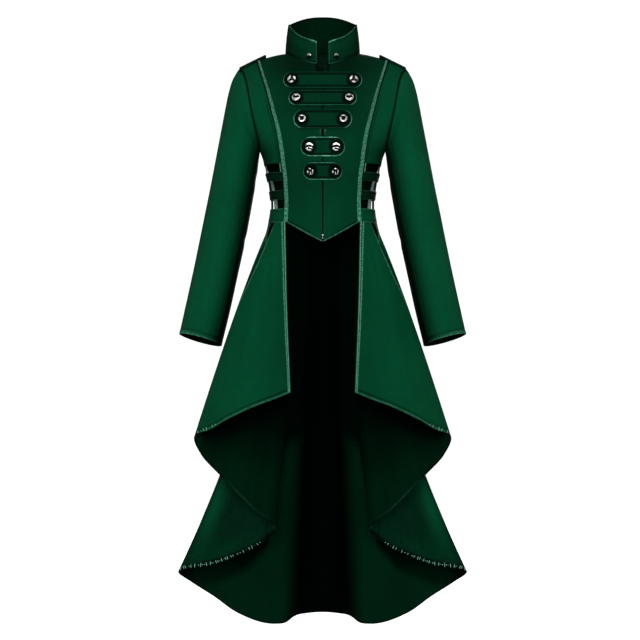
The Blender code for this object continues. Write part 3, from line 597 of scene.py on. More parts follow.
def level_line(sheet, out, distance, at):
    """The line on a sheet, one point a column, where a distance that shrinks down the rows reaches at."""
    columns = np.arange(sheet.shape[1])
    row = np.clip((distance > at).sum(axis=0) - 1, 0, len(sheet) - 2)
    before, after = distance[row, columns], distance[row + 1, columns]
    share = np.clip((before - at) / np.maximum(before - after, 1e-9), 0, 1)[:, None]
    line = sheet[row, columns] * (1 - share) + sheet[row + 1, columns] * share
    return line, out[row, columns]


SEAM_DIP = 0.0007
SEAM_SHADOW = 0.0016


def panel_points(start, end, columns, behind, low_rows, low_end):
    """Turns and heights of a panel's grid: start and end give a seam's turn for a column of heights."""
    edges = []
    for seam, inside in ((start, SEAM_TURN), (end, -SEAM_TURN)):
        top = neckline_height(np.array([seam["x"]]), behind)
        edges.append(seam["turn"](row_heights(top, low_rows, low_end)[:, 0]) + inside)
    turn = between(*edges, columns)
    top_x = torso(turn[0], np.zeros(columns))[:, 0]
    return turn, row_heights(neckline_height(top_x, behind), low_rows, low_end)


def opening_turn(heights):
    """Turn of the front opening's edge: apart at the collar, then hook to hook down to the point."""
    turn = turn_at(seam_at(OPEN_FRONT, heights), heights) - SEAM_TURN
    return np.where(turn < 0.0003, SEAM_TURN, turn) - SEAM_TURN


def seam_turn(seam, behind=False):
    """A function that gives a curved seam's turn at a column of heights."""
    return lambda heights: turn_at(curved_seam_at(seam, heights), heights, behind)


def armhole_front_turn(heights):
    return np.where(heights <= ARMHOLE[-1][0], math.pi / 2, seam_turn(ARMHOLE)(heights))


def armhole_back_turn(heights):
    low_turn = np.radians(seam_at(SIDE_OPENING_BACK, heights))
    return np.where(heights <= ARMHOLE[-1][0], low_turn, seam_turn(ARMHOLE, True)(heights))


opening = {"x": OPENING_X, "turn": opening_turn}
front_seam = {"x": FRONT_SEAM[0][1], "turn": seam_turn(FRONT_SEAM)}
front_armhole = {"x": ARMHOLE[0][1], "turn": armhole_front_turn}
back_armhole = {"x": ARMHOLE[0][1], "turn": armhole_back_turn}
back_seam = {"x": BACK_SEAM[0][1], "turn": seam_turn(BACK_SEAM, True)}
centre_back = {"x": 0.0, "turn": lambda heights: np.full(heights.shape, math.pi + SEAM_TURN)}

# Creases of each panel, as (turn in degrees, height) at both ends, width and depth in metres
BODICE_CREASES = {
    "front": (
        ((20, -0.300), (50, -0.338), 0.010, 0.0009),
        ((14, -0.330), (40, -0.356), 0.009, 0.0008),
        ((48, -0.232), (30, -0.262), 0.012, 0.0009),
        ((52, -0.120), (40, -0.165), 0.014, 0.0008),
        ((34, -0.035), (52, -0.070), 0.012, 0.0007),
    ),
    "side_front": (
        ((62, -0.120), (72, -0.175), 0.010, 0.0012),
        ((58, -0.150), (76, -0.205), 0.009, 0.0010),
        ((60, -0.200), (84, -0.225), 0.008, 0.0009),
    ),
    "side_back": (
        ((118, -0.110), (104, -0.180), 0.011, 0.0014),
        ((124, -0.150), (106, -0.205), 0.010, 0.0012),
        ((128, -0.230), (146, -0.262), 0.011, 0.0010),
        ((130, -0.300), (148, -0.330), 0.010, 0.0010),
    ),
    "back": (
        ((150, -0.070), (172, -0.100), 0.014, 0.0010),
        ((146, -0.120), (168, -0.160), 0.014, 0.0010),
        ((152, -0.290), (176, -0.315), 0.011, 0.0012),
        ((156, -0.322), (178, -0.340), 0.009, 0.0011),
    ),
}


def shaded(across, down, places):
    """Soft round patches of painted shade: each a middle, a reach both ways and a strength."""
    total = 0.0
    for middle_across, middle_down, reach_across, reach_down, strength in places:
        patch = fading(across - middle_across, reach_across) * fading(down - middle_down, reach_down)
        total = total + strength * patch
    return total


def torso_sheets(turn, height, creases):
    """Outer and inner sheet of a torso piece, creased, with the cloth dipping into its side seams."""
    outer, out = torso(turn, height), torso_out(turn, height)
    along = grid_arcs(outer)[0]
    to_seam = np.minimum(along, along[:, -1:] - along)
    lowered = SEAM_DIP * fading(to_seam, SEAM_SHADOW)
    lowered = lowered + creased(outer, lambda turn, height: torso(np.radians(turn), height), creases, 22)
    outer = outer - out * lowered[..., None]
    return outer, outer - out * CLOTH, to_seam, out


# Patches of painted shade, as (turn in degrees, height, reach in degrees, reach, strength)
BODICE_SHADES = {
    "front": (
        (16, 0.000, 44, 0.060, 0.50),
        (4, -0.085, 26, 0.080, 0.36),
        (20, -0.250, 80, 0.300, 0.48),
    ),
    "side_front": (
        (77, -0.218, 24, 0.034, 0.66),
        (90, -0.140, 10, 0.080, 0.50),
        (66, -0.020, 24, 0.050, 0.16),
    ),
    "side_back": ((90, -0.150, 12, 0.080, 0.45), (100, -0.240, 14, 0.030, 0.30)),
    "back": ((180, 0.000, 30, 0.040, 0.30),),
}
TOPSTITCH_WIDTH = 0.0007
CENTRE_STITCH_WIDTH = 0.0006
TOPSTITCH_START = -0.120


def make_panel(node, turn, height, pale=0.0, extra_dark=0.0, rests_on=(), facing=0.0):
    """A bodice panel; facing is how far its inside is painted lighter, as painted light."""
    outer, inner, to_seam, out = torso_sheets(turn, height, BODICE_CREASES[node])
    # Painted shade: the seams, extra_dark and the panel's patches darken the colour
    dark = 0.85 * fading(to_seam, SEAM_SHADOW) + extra_dark
    dark = dark + shaded(np.degrees(turn), height, BODICE_SHADES[node])
    both_sides(
        node, outer, inner, CLOTH_AND_LINING, pale=pale, dark=dark, inner_pale=facing, rests_on=rests_on
    )
    return outer, out


# Fronts: the lower edge runs down to a point, piped along the edge, and the centre edge is topstitched
FRONT_COLUMNS, FRONT_ROWS, POINT_ROWS = 84, 66, 24
PIPING_WIDTH = 0.0052
turn, height = panel_points(opening, front_seam, FRONT_COLUMNS, False, FRONT_ROWS, POINT_START_HEIGHT)
low_share = np.linspace(0, 1, POINT_ROWS + 1)[1:, None]
low_heights = POINT_START_HEIGHT + (WAIST_HEIGHT - POINT_START_HEIGHT) * low_share[:, 0]
low_start, low_end = opening_turn(low_heights) + SEAM_TURN, front_seam["turn"](low_heights) - SEAM_TURN
low_turn = between(low_start, low_end, FRONT_COLUMNS)
edge_x = torso(low_turn[-1], np.full(FRONT_COLUMNS, WAIST_HEIGHT))[:, 0]
point_edge = POINT_HEIGHT + (WAIST_HEIGHT - POINT_HEIGHT) * np.clip(edge_x / POINT_HALF_WIDTH, 0, 1)
turn = np.concatenate([turn, low_turn])
height = np.concatenate([height, POINT_START_HEIGHT * (1 - low_share) + point_edge[None, :] * low_share])
front_sheet = torso(turn, height)
from_centre, fallen = grid_arcs(front_sheet)
from_point = fallen[-1:] - fallen
# Painted highlight along the point's piped edge, the centre edge and the tip; painted shade in the groove
# above the piping and along the centre seam. Between the third and fourth tabs a short pale stripe lies
# beside a dark one at the centre.
front_pale = 0.9 * fading(from_point, 0.0020) + 0.35 * fading(from_centre - 0.0012, 0.0010)
front_pale = front_pale + 2.0 * fading(from_centre - 0.0044, 0.0016) * fading(height + 0.1640, 0.0065)
front_pale = front_pale + 1.2 * fading(from_centre, 0.0030) * fading(from_point - 0.0010, 0.0030)
front_dark = 0.7 * fading(from_point - 0.0050, 0.0014) + 0.8 * fading(from_centre, 0.0011)
front_dark = front_dark + 0.9 * fading(from_centre, 0.0024) * fading(height + 0.1655, 0.0080)
outer, out = make_panel("front", turn, height, front_pale, front_dark, ("side_front", "band"))
edge_line, edge_out = level_line(outer, out, from_point, PIPING_WIDTH)
low = height[:, 6] < TOPSTITCH_START
stitched_both("front_stitches", [
    stitch_row(edge_line[2:-2], edge_out[2:-2], width=TOPSTITCH_WIDTH),
    stitch_row(outer[low][:-4, 4], out[low][:-4, 4], width=CENTRE_STITCH_WIDTH),
], thread_green)

# Side fronts: a dark line runs beside the band from the chest to the side opening
SIDE_FRONT_COLUMNS, SIDE_FRONT_ROWS = 44, 48
turn, height = panel_points(
    front_seam, front_armhole, SIDE_FRONT_COLUMNS, False, SIDE_FRONT_ROWS, SIDE_PANEL_HEIGHT
)
from_seam = grid_arcs(torso(turn, height))[0]
# A dark line is drawn beside the band; painted shade lies beside the band and along the armhole, wider low
# down, and a painted highlight runs beside the armhole seam
dark_line_by_band = 0.7 * fading(from_seam - 0.0080, 0.0012) * np.clip((-0.085 - height) / 0.03, 0, 1)
to_armhole = from_seam[:, -1:] - from_seam
by_armhole = 0.45 * fading(to_armhole - 0.0015, 0.0050)
by_armhole = by_armhole + 0.35 * fading(to_armhole, 0.0120) * smooth_step((-0.125 - height) / 0.050)
by_band = 0.65 * fading(from_seam - 0.0010, 0.0026) + 0.14 * fading(from_seam, 0.0280)
armhole_highlight = 0.14 * fading(to_armhole - 0.0062, 0.0012) * fading(height + 0.075, 0.040)
make_panel(
    "side_front", turn, height, armhole_highlight, dark_line_by_band + by_armhole + by_band, ("front", "side_back")
)

# Side backs and backs, topstitched along the curved seam and the centre seam
SIDE_BACK_COLUMNS, BACK_COLUMNS, BACK_ROWS = 50, 60, 84
turn, height = panel_points(back_armhole, back_seam, SIDE_BACK_COLUMNS, True, BACK_ROWS, WAIST_HEIGHT)
side_outer, side_out = make_panel("side_back", turn, height, rests_on=("back",))
turn, height = panel_points(back_seam, centre_back, BACK_COLUMNS, True, BACK_ROWS, WAIST_HEIGHT)
# Painted light: the back's inside is painted lighter near the centre below the neck, where it shows between
# the collar's ends
neck_inside_light = 0.22 * smooth_step((height + 0.075) / 0.020) * smooth_step((np.degrees(turn) - 164) / 8)
back_outer, back_out = make_panel("back", turn, height, rests_on=("side_back",), facing=neck_inside_light)
stitched_both("back_stitches", [
    stitch_row(side_outer[3:, -4], side_out[3:, -4], width=TOPSTITCH_WIDTH),
    stitch_row(back_outer[3:, 3], back_out[3:, 3], width=TOPSTITCH_WIDTH),
    stitch_row(back_outer[3:, -4], back_out[3:, -4], width=CENTRE_STITCH_WIDTH),
], thread_green)

# ------------------------------------------------------------
# Side openings: two straps and a belt on each side
#
# The bodice is cut away at the sides, and two narrow straps and a wider belt of doubled satin bridge the
# gap from the front band to the back panel. Their long edges are pressed and topstitched, with a painted
# highlight along them, and the two straps are painted darker as shade, most where they turn to the side.
# Inside, a tape runs down the side, a pale strip faces the opening's back edge, and a short stay its front
# edge at the top. The very pale insides of tape and strip are painted light that stands for the bright gap,
# the tape is painted dark lower down as shade, and the stay carries a painted highlight along one edge.
# ------------------------------------------------------------

STRAP_HEIGHTS = {"strap_upper": (-0.257, -0.275), "strap_lower": (-0.297, -0.316), "belt": (-0.337, -0.367)}
STRAP_CREASES = {
    "strap_upper": (((66, -0.260), (88, -0.272), 0.006, 0.0009),),
    "strap_lower": (
        ((62, -0.301), (84, -0.313), 0.006, 0.0009),
        ((92, -0.300), (104, -0.312), 0.005, 0.0007),
    ),
    "belt": (
        ((60, -0.343), (82, -0.359), 0.008, 0.0010),
        ((88, -0.341), (106, -0.355), 0.008, 0.0009),
    ),
}
STRAP_ROWS, STRAP_COLUMNS = 26, 84
SHORT_STITCH = (0.0030, 0.0021)
STRIP_GAP = 0.0002
STRIP_THICKNESS = 0.0011
FACING_LIT_GREEN = (0.4200, 0.8000, 0.6200)
FACING_LIGHT = (0.62, 0.93, 0.80)
TAPE_TURN = 91.0
STRIP_ROWS, TAPE_COLUMNS, FACING_COLUMNS = 90, 8, 10
STAY_ROWS, STAY_COLUMNS = 24, 12
FACING_TURNS = 9.0

strap_rows = []
for node, (top, bottom) in STRAP_HEIGHTS.items():
    height = np.linspace(top, bottom, STRAP_ROWS)[:, None] + np.zeros((1, STRAP_COLUMNS))
    start = front_seam["turn"](height[:, 0]) + SEAM_TURN
    end = np.radians(seam_at(SIDE_OPENING_BACK, height[:, 0])) - SEAM_TURN
    turn = between(start, end, STRAP_COLUMNS)
    outer, inner, to_seam, out = torso_sheets(turn, height, STRAP_CREASES[node])
    along_strap, fallen = grid_arcs(outer)
    to_edge = np.minimum(fallen, fallen[-1:] - fallen)
    # Painted shade at the seams and stitch lines; the two straps are painted darker all over, most where they
    # turn to the side, and their long edges get a painted highlight
    dark = 0.8 * fading(to_seam, 0.002) + 0.35 * fading(to_edge - 0.0034, 0.0010)
    at_side = fading(np.degrees(turn) - 90, 14)
    blotches = np.sin(along_strap * 190 + 2.0 * np.sin(fallen * 260)) * np.sin(fallen * 330 + 1.1)
    blotches = 0.5 + 0.5 * blotches
    dark = dark + (0.10 * blotches if node == "belt" else 0.70 + 0.10 * blotches + 0.40 * at_side)
    both_sides(
        node, outer, inner, CLOTH_AND_LINING, held="stretched", rests_on=("front", "side_back"),
        pale=0.45 * fading(to_edge, 0.0013), dark=dark,
    )
    for row in (5, -6):
        strap_rows.append(stitch_row(outer[row, 1:-1], out[row, 1:-1], *SHORT_STITCH, TOPSTITCH_WIDTH))
    if node == "belt":
        strap_rows.append(stitch_row(outer[1:-1, 6], out[1:-1, 6], *SHORT_STITCH))
stitched_both("strap_stitches", strap_rows, thread_green)

# Painted light: this very pale satin lines the strips' insides, where the bright gap shows through
cloth_lit_facing = cloth_finish("pale satin facing", FACING_LIT_GREEN, FACING_LIGHT, 0.0009, 0.50, 0.20)


def opening_strip(name, turn, height, rests_on, held="laid", layers=1, **marks):
    """A thin strip of satin laid just inside the straps on both halves."""
    out = torso_out(turn, height)
    outer = torso(turn, height) - out * (CLOTH + STRIP_GAP)
    both_sides(
        name, outer, outer - out * STRIP_THICKNESS, (cloth_green, cloth_lit_facing), held=held,
        rests_on=rests_on, solid=False, layers=layers, **marks,
    )


strip_bottom = STRAP_HEIGHTS["belt"][0] - 0.0060
height = np.linspace(SIDE_PANEL_HEIGHT - 0.0010, strip_bottom, STRIP_ROWS)[:, None]
tape_end = 102.5 + 3.0 * smooth_step((-0.258 - height) / 0.030)
tape_turn = np.radians(TAPE_TURN + (tape_end - TAPE_TURN) * np.linspace(0, 1, TAPE_COLUMNS)[None, :])
# Both strips are painted darker outside as shade; the tape's inside is painted light above and painted shade
# below, and the facing's inside is painted light
opening_strip(
    "side_tape", tape_turn, height + 0 * tape_turn, ("side_back", "belt"), dark=0.5,
    inner_pale=smooth_step((0.256 + height) / 0.003),
    inner_dark=0.95 * smooth_step((-0.253 - height) / 0.003),
)

height = np.linspace(STRAP_HEIGHTS["strap_upper"][0] + 0.0040, strip_bottom, STRIP_ROWS)[:, None]
strip_end = np.radians(seam_at(SIDE_OPENING_BACK, height) + 1.5)
turn = strip_end - np.radians(FACING_TURNS) * np.linspace(1, 0, FACING_COLUMNS)[None, :]
opening_strip("opening_facing", turn, height + 0 * turn, ("side_back", "belt"), dark=0.5, inner_pale=0.9)

stay_foot = STRAP_HEIGHTS["strap_upper"][0] - 0.0040
height = np.linspace(SIDE_PANEL_HEIGHT + 0.0005, stay_foot, STAY_ROWS)[:, None]
stay_share = np.linspace(0, 1, STAY_COLUMNS)[None, :]
turn = turn_at(curved_seam_at(FRONT_SEAM, height) - 0.0012 + 0.0084 * stay_share, height)
# Painted highlight along the stay's far edge, painted shade over the rest
opening_strip(
    "opening_stay", turn, height + 0 * turn, ("front",), "folded", 1.2,
    pale=1.2 * smooth_step((stay_share - 0.66) / 0.12), dark=smooth_step((0.74 - stay_share) / 0.08),
)

# ------------------------------------------------------------
# Bands on the fronts' outer seams
#
# A narrow strip of paler satin lies over the seam from the shoulder to the waist on each side. It is sewn
# down its middle and both edges, and the stitching draws it up into short puckers.
# ------------------------------------------------------------

BAND_WIDTH = 0.0090
BAND_NARROWING = 0.0028
BAND_INSET = 0.0004
BAND_COLUMNS, BAND_ROWS = 15, 320
BAND_THICKNESS = 0.0016
TRIM_GAP = 0.0005
PUCKER_LENGTH = 0.0085
PUCKER_RISE = 0.00030
BAND_GREEN = (0.0160, 0.1400, 0.0750)
MIDDLE_STITCH = (0.0046, 0.0030, 0.0013, 0.25, 0.35)
EDGE_STITCH = (0.0040, 0.0024, 0.0008, 0.0, 0.20)

# The trim's pale crests are painted highlight, from the band's pale mark
cloth_trim = cloth_finish("rubbed satin trim", BAND_GREEN, float_width=0.0009, roughness=0.42, shine=0.30)
TRIM_AND_LINING = (cloth_trim, cloth_lining_shaded)


def puckers(along, across, length):
    """Short folds across a band: a sine whose spacing wanders, deepest at both edges of the band."""
    wander = 1.3 * np.sin(along * 57.0) + 0.9 * np.sin(along * 131.0 + 1.7)
    wave = 2 * math.pi * along / length + wander + 1.6 * across**2
    wave = wave + 0.8 * np.sin(along * 391.0) * across
    return np.sin(wave) * (0.45 + 0.55 * across**2)


def band_sheets(points, out, lift, thickness, length=PUCKER_LENGTH):
    """A band's outer and inner sheet: a low roll at each edge, a groove of stitching, and puckers."""
    along, fallen = grid_arcs(points)
    across = 2 * along / along[:, -1:] - 1
    crest = puckers(fallen, across, length)
    roll = thickness * (0.72 + 0.28 * np.cos(3.1 * np.abs(across) ** 1.2 * math.pi))
    rise = lift + roll + PUCKER_RISE * crest
    low = smooth_step((-0.060 - points[..., 2]) / 0.150)
    # Painted light: the pucker crests are painted paler as highlight, the troughs and the band's edges darker
    # as shade, and the band is painted darker towards its top, most along its side toward the centre; a
    # speckled pattern runs all along
    patches = np.sin(fallen * 410 + 2.0 * np.sin(fallen * 173)) * np.sin(1.9 * across + fallen * 290)
    pale = 0.05 + 0.08 * low + 0.30 * patches + 0.78 * np.clip(crest, -0.5, 1)
    pale = pale - 0.2 * fading(across, 0.2)
    dark = 0.75 * fading(np.abs(across) - 1.0, 0.12)
    dark = dark + 0.75 * np.clip(-crest, 0, 1) * fading(across - 0.3, 0.8) + 0.35 * np.clip(-patches, 0, 1)
    dark = dark + (1 - low) * (0.44 + 0.4 * smooth_step((0.20 - along / along[:, -1:]) / 0.15))
    return points + out * rise[..., None], points + out * lift, pale, dark


band_top = neckline_height(np.array([front_seam["x"]]), False)
band_heights = row_heights(band_top, BAND_ROWS, WAIST_HEIGHT)[1:, 0]
band_edge = curved_seam_at(FRONT_SEAM, band_heights)
band_width = BAND_WIDTH - BAND_NARROWING * smooth_step((band_heights + 0.120) / 0.100)
band_x = between(band_edge - band_width, band_edge - BAND_INSET, BAND_COLUMNS)
height = band_heights[:, None] + 0 * band_x
turn = turn_at(band_x, height)
points, out = torso(turn, height), torso_out(turn, height)
outer, inner, pale, dark = band_sheets(points, out, TRIM_GAP, BAND_THICKNESS)
both_sides(
    "band", outer, inner, TRIM_AND_LINING, slot="trim", held="laid", rests_on=("front",), pale=pale, dark=dark
)
stitched_both("band_stitches", [
    stitch_row(outer[:, 7], out[:, 7], *MIDDLE_STITCH),
    stitch_row(outer[:, 2], out[:, 2], *EDGE_STITCH),
    stitch_row(outer[:, 12], out[:, 12], *EDGE_STITCH),
], thread_pale)

# ------------------------------------------------------------
# Tabs: five round-ended tabs across the front
#
# Each tab is two layers of satin over a stiff core, with a thick corded rim and a sunken line of stitching
# inside it. They shorten from the chest to the waist, and the buttons pull them in at both ends.
# ------------------------------------------------------------

# Half length, top, bottom and the buttons' distance from the centre
TAB_ROWS = (
    (0.0880, -0.0342, -0.0722, 0.0684),
    (0.0761, -0.0762, -0.1120, 0.0584),
    (0.0652, -0.1200, -0.1641, 0.0456),
    (0.0496, -0.1810, -0.2243, 0.0295),
    (0.0438, -0.2356, -0.2750, 0.0272),
)
TAB_THICKNESS = 0.0028
TAB_RIM = 0.0022
RIM_PLACE, RIM_REACH = 0.80 * TAB_RIM, 0.62 * TAB_RIM
GROOVE_PLACE, GROOVE_REACH = 2.15 * TAB_RIM, 0.55 * TAB_RIM
BUTTON_DIMPLE = 0.0085
TAB_BEND_COLUMNS, TAB_STRAIGHT_COLUMNS, TAB_GRID_ROWS = 26, 58, 36


def tab_grid(half_length, top, bottom):
    """Places on a tab with round ends: columns crowd towards the ends, and rows narrow with them."""
    radius, middle = (top - bottom) / 2, (top + bottom) / 2
    straight = half_length - radius
    bend = np.radians(np.linspace(86, 0, TAB_BEND_COLUMNS))
    end_x, end_half = straight + radius * np.sin(bend), radius * np.cos(bend)
    flat_x = np.linspace(-straight, straight, TAB_STRAIGHT_COLUMNS + 2)[1:-1]
    x = np.concatenate([-end_x, flat_x, end_x[::-1]])
    half = np.concatenate([end_half, np.full(TAB_STRAIGHT_COLUMNS, radius), end_half[::-1]])
    height = middle + np.linspace(1, -1, TAB_GRID_ROWS)[:, None] * half[None, :]
    x = x[None, :] + 0 * height
    beyond = np.maximum(np.abs(x) - straight, 0)
    inside = radius - np.hypot(beyond, height - middle)
    return x, height, inside


def mirrored_torso(x, height):
    """Torso points and normals for signed distances from the centre."""
    turn = turn_at(np.abs(x), height)
    sign = np.stack([np.where(x < 0, -1.0, 1.0), np.ones_like(x), np.ones_like(x)], axis=-1)
    out = torso_out(turn, height) * sign
    out[..., 0] = out[..., 0] * np.clip(np.abs(x) / 0.004, 0, 1)
    return torso(turn, height) * sign, out / np.linalg.norm(out, axis=-1, keepdims=True)


def tab_relief(x, height, inside, row):
    """How thick a tab is at a place: a corded rim, a sunken stitch line, and pulls round each button."""
    _, top, bottom, button_x = row
    from_x, from_middle = np.abs(x) - button_x, height - (top + bottom) / 2
    to_button = np.hypot(from_x, from_middle)
    rim, groove = fading(inside - RIM_PLACE, RIM_REACH), fading(inside - GROOVE_PLACE, GROOVE_REACH)
    dimple = fading(to_button, BUTTON_DIMPLE)
    pulls = fading(to_button, 0.014) * np.sin(9 * np.arctan2(from_middle, from_x))
    edge_fall = np.clip(1 - inside / 0.0010, 0, 1) ** 2
    share = 0.80 + 0.30 * rim - 0.32 * groove - 0.28 * dimple + 0.05 * pulls - 0.45 * edge_fall
    return TAB_THICKNESS * share, to_button, edge_fall


def on_tab(x, height, inside, row):
    """Points and normals on a tab's face, where stitches and threads lie."""
    seat, out = mirrored_torso(x, height)
    return seat + out * (TRIM_GAP + tab_relief(x, height, inside + 0 * x, row)[0])[..., None], out


# Painted highlight along each tab's rim: how pale along its top, bottom and round ends
TAB_HIGHLIGHT = (
    (0.08, 0.16, 0.75),
    (0.12, 0.40, 0.95),
    (0.08, 0.16, 1.05),
    (0.85, 0.95, 0.75),
    (0.70, 0.85, 0.70),
)

tab_rows = []
for number, row in enumerate(TAB_ROWS, 1):
    half_length, top, bottom, button_x = row
    x, height, inside = tab_grid(half_length, top, bottom)
    middle, radius = (top + bottom) / 2, (top - bottom) / 2
    rise, to_button, edge_fall = tab_relief(x, height, inside, row)
    points, out = mirrored_torso(x, height)
    outer, inner = points + out * (TRIM_GAP + rise)[..., None], points + out * TRIM_GAP
    on_top, on_bottom, on_end = TAB_HIGHLIGHT[number - 1]
    low = np.clip((middle - height) / radius, -1, 1)
    at_end = smooth_step((np.abs(x) - half_length + radius) / (0.6 * radius))
    paled = at_end * on_end * np.clip(0.75 + 0.5 * low, 0.2, 1.1)
    paled = paled + (1 - at_end) * np.where(low < 0, on_top, on_bottom)
    # On the fourth tab the painted highlight adds glints at both top corners and along the lower edge
    if number == 4:
        paled = paled + 1.0 * fading(np.abs(x) - 0.0255, 0.0075) * (low < 0)
        paled = paled + 0.8 * fading(x - 0.0110, 0.0130) * (low > 0)
    pale = paled * fading(inside - RIM_PLACE, 0.0012)
    # Painted shade: the tab is painted darker all over, most in the stitch groove, round the buttons and
    # where the edge falls away, and less under the highlight
    by_button = smooth_step((0.0190 - to_button) / 0.0060)
    stitch_line = fading(inside - 0.0050, 0.0022) * (0.75 + 0.25 * np.abs(low))
    dark = 0.63 + 0.65 * stitch_line + 0.45 * by_button + 0.9 * edge_fall
    dark = dark * (1 - 0.95 * np.clip(1.3 * pale, 0, 1))
    piece = shell(f"tab_{number}_cloth", outer, inner, CLOTH_AND_LINING, pale=pale, dark=dark)
    sewn(piece, f"tab_{number}", outer)

    # The stitch line keeps a fixed distance inside the round-ended outline
    turn_round = np.linspace(0, 2 * math.pi, 240)
    line_radius, straight = radius - GROOVE_PLACE, half_length - radius
    line_x = line_radius * np.sin(turn_round) + straight * np.clip(3.0 * np.sin(turn_round), -1, 1)
    seat, seat_out = on_tab(line_x, middle + line_radius * np.cos(turn_round), GROOVE_PLACE, row)
    tab_rows.append(stitch_row(seat, seat_out, *SHORT_STITCH, TOPSTITCH_WIDTH))
stitched("tab_stitches", tab_rows, thread_green)

# Rows of pale thread laid on the fourth tab's rim as painted glints: from x, to x, and how far below its
# middle
GLINT_PLACES = (
    (-0.0215, -0.0140, -1),
    (0.0140, 0.0215, -1),
    (-0.0020, 0.0160, 1),
    (-0.0190, -0.0140, 1),
)
GLINT_THREAD = (0.0019, 0.0032, 0.0019, 0.10, 0.30)

glint_rows = []
_, top, bottom, _ = TAB_ROWS[3]
for first_x, last_x, below in GLINT_PLACES:
    line_x = np.linspace(first_x, last_x, 20)
    line_height = (top + bottom) / 2 - below * ((top - bottom) / 2 - RIM_PLACE) + 0 * line_x
    glint_rows.append(stitch_row(*on_tab(line_x, line_height, RIM_PLACE, TAB_ROWS[3]), *GLINT_THREAD))
stitched("tab_glint_threads", glint_rows, thread_pale)

# ------------------------------------------------------------
# Buttons and collar studs
#
# Ten cast metal buttons, silvered and polished by handling: a beaded rim painted near black, a rounded ring
# and a few cut strokes that hold dark polish, and painted shade over the top of most. Two smaller studs of
# the same make close the collar, their lower part painted dark as shade.
# ------------------------------------------------------------

BUTTON_RADIUS = 0.0105
BUTTON_HEIGHT = 0.0062
STUD_RADIUS = 0.0065
STUD_HEIGHT = 0.0045
DISC_GRID = 36
DISC_LIP = 0.0001
BUTTON_GAP = 0.0003
BEADS = 14


def metal_finish(name, colour, tarnish, roughness):
    """Silvered metal: fine scratches in the roughness, and near black where the mark dark says: dark polish
    in the cut strokes, tarnish, darkened rims and plates, and painted shade on the buttons' tops and the
    studs' lower parts.
    """
    finish, tree, shader = start_finish(name)
    place = add(tree, "TexCoord").outputs["Object"]
    scratches = noise(tree, place, 2600.0, 2.0)
    dirt_and_shade = maths(tree, "MULTIPLY_ADD", noise(tree, place, 420.0, 3.0), 0.35, mark(tree, "dark"))
    share = ranged(tree, dirt_and_shade, 0.25, 0.95, 0.0, 1.0)
    fill(tree, shader, {
        "Base Color": mixed(tree, share, (*colour, 1.0), (*tarnish, 1.0)),
        "Roughness": ranged(tree, scratches, 0.3, 0.7, roughness - 0.06, roughness + 0.10),
        "Metallic": 1.0,
        "Normal": bumped(tree, scratches, 0.15, 0.0001),
    })
    return finish


metal_silver = metal_finish("polished silver", (0.93, 0.93, 0.91), (0.003, 0.004, 0.004), 0.30)


def disc_grid(count):
    """A square grid pressed out to a round disc of radius 1."""
    u, v = np.meshgrid(np.linspace(-1, 1, count), np.linspace(-1, 1, count), indexing="ij")
    return u * np.sqrt(1 - v**2 / 2), v * np.sqrt(1 - u**2 / 2)


def button_relief(x, y, strokes, bright_radius, tarnished, upper):
    """Height and darkening of a button's face over the unit disc.

    A rim with beads, painted near black outside the bright radius, a rounded ring, and cut strokes: each runs
    at its angle, shifted sideways, from one distance to another, with its width and its bend, and is as deep
    as a bell curve is high. Tarnish is spread at random, and upper paints the top darker as painted shade.
    """
    radius, angle = np.hypot(x, y), np.arctan2(y, x)
    ring = fading(radius - 0.52, 0.30)
    slot = 0 * x
    for heading, shift, first, last, width, bend in strokes:
        ahead = x * math.cos(heading) + y * math.sin(heading)
        aside = y * math.cos(heading) - x * math.sin(heading) - shift
        cut = smooth_step((ahead - first) / 0.16) * smooth_step((last - ahead) / 0.16)
        slot = np.maximum(slot, fading(aside - bend * ahead**2, width) * cut)
    beads = 0.5 + 0.5 * np.cos(BEADS * angle)
    rim = smooth_step((radius - bright_radius) / 0.10)
    grime = 0.5 + 0.5 * np.sin(5.1 * x + 2.0 * y + 0.6) * np.sin(6.3 * y - 1.7 * x + 1.0)
    fall = np.sqrt(np.clip((1 - radius) / 0.10, 0, 1))
    height = (0.44 + 0.16 * ring - 0.22 * slot + 0.05 * beads * fading(radius - 0.88, 0.06)) * fall
    dirt_and_shade = 1.25 * slot + 1.1 * rim * (1 - 0.20 * beads) + tarnished * grime
    # upper paints the top of the face darker, as painted shade
    return height, np.clip(dirt_and_shade + upper * smooth_step((y + 0.05) / 0.35), 0, 1)


def place_disc(node, seat, out, radius, height, cast):
    """A button on its seat: its disc lies across the normal, upright, with its face standing out."""
    x, y = disc_grid(DISC_GRID)
    face, dirt_and_shade = button_relief(x, y, *cast)
    side = np.cross((0.0, 0.0, 1.0), out)
    side = side / np.linalg.norm(side)
    up = np.cross(out, side)
    base = seat + radius * (x[..., None] * side + y[..., None] * up)
    outer = base + out * (height * face + DISC_LIP)[..., None]
    piece = shell(f"{node}_metal", outer, base, (metal_silver, metal_silver), dark=dirt_and_shade)
    settle(piece, node)


# Each pair of buttons: its lean, its cut strokes, its bright radius, its tarnish, and painted shade on its
# top
THREE_ARMS = ((1.50, 0, 0.02, 1.0, 0.21, 0), (3.75, 0, -0.1, 0.9, 0.20, 0), (5.70, 0, 0.05, 0.9, 0.23, 0))
CURVED_SLOT = ((0.08, 0.10, -0.75, 0.75, 0.20, -0.10),)
UPRIGHT_SLOT = ((1.57, 0.02, -0.50, 0.55, 0.33, 0),)
TWO_ARCS = ((0.0, 0.16, -1.0, 1.0, 0.19, -0.40), (-0.4, -0.36, -0.2, 0.9, 0.15, 0.2))
TWO_SLOTS = ((1.57, 0.22, -0.6, 0.6, 0.13, 0), (1.57, -0.26, -0.6, 0.6, 0.13, 0))
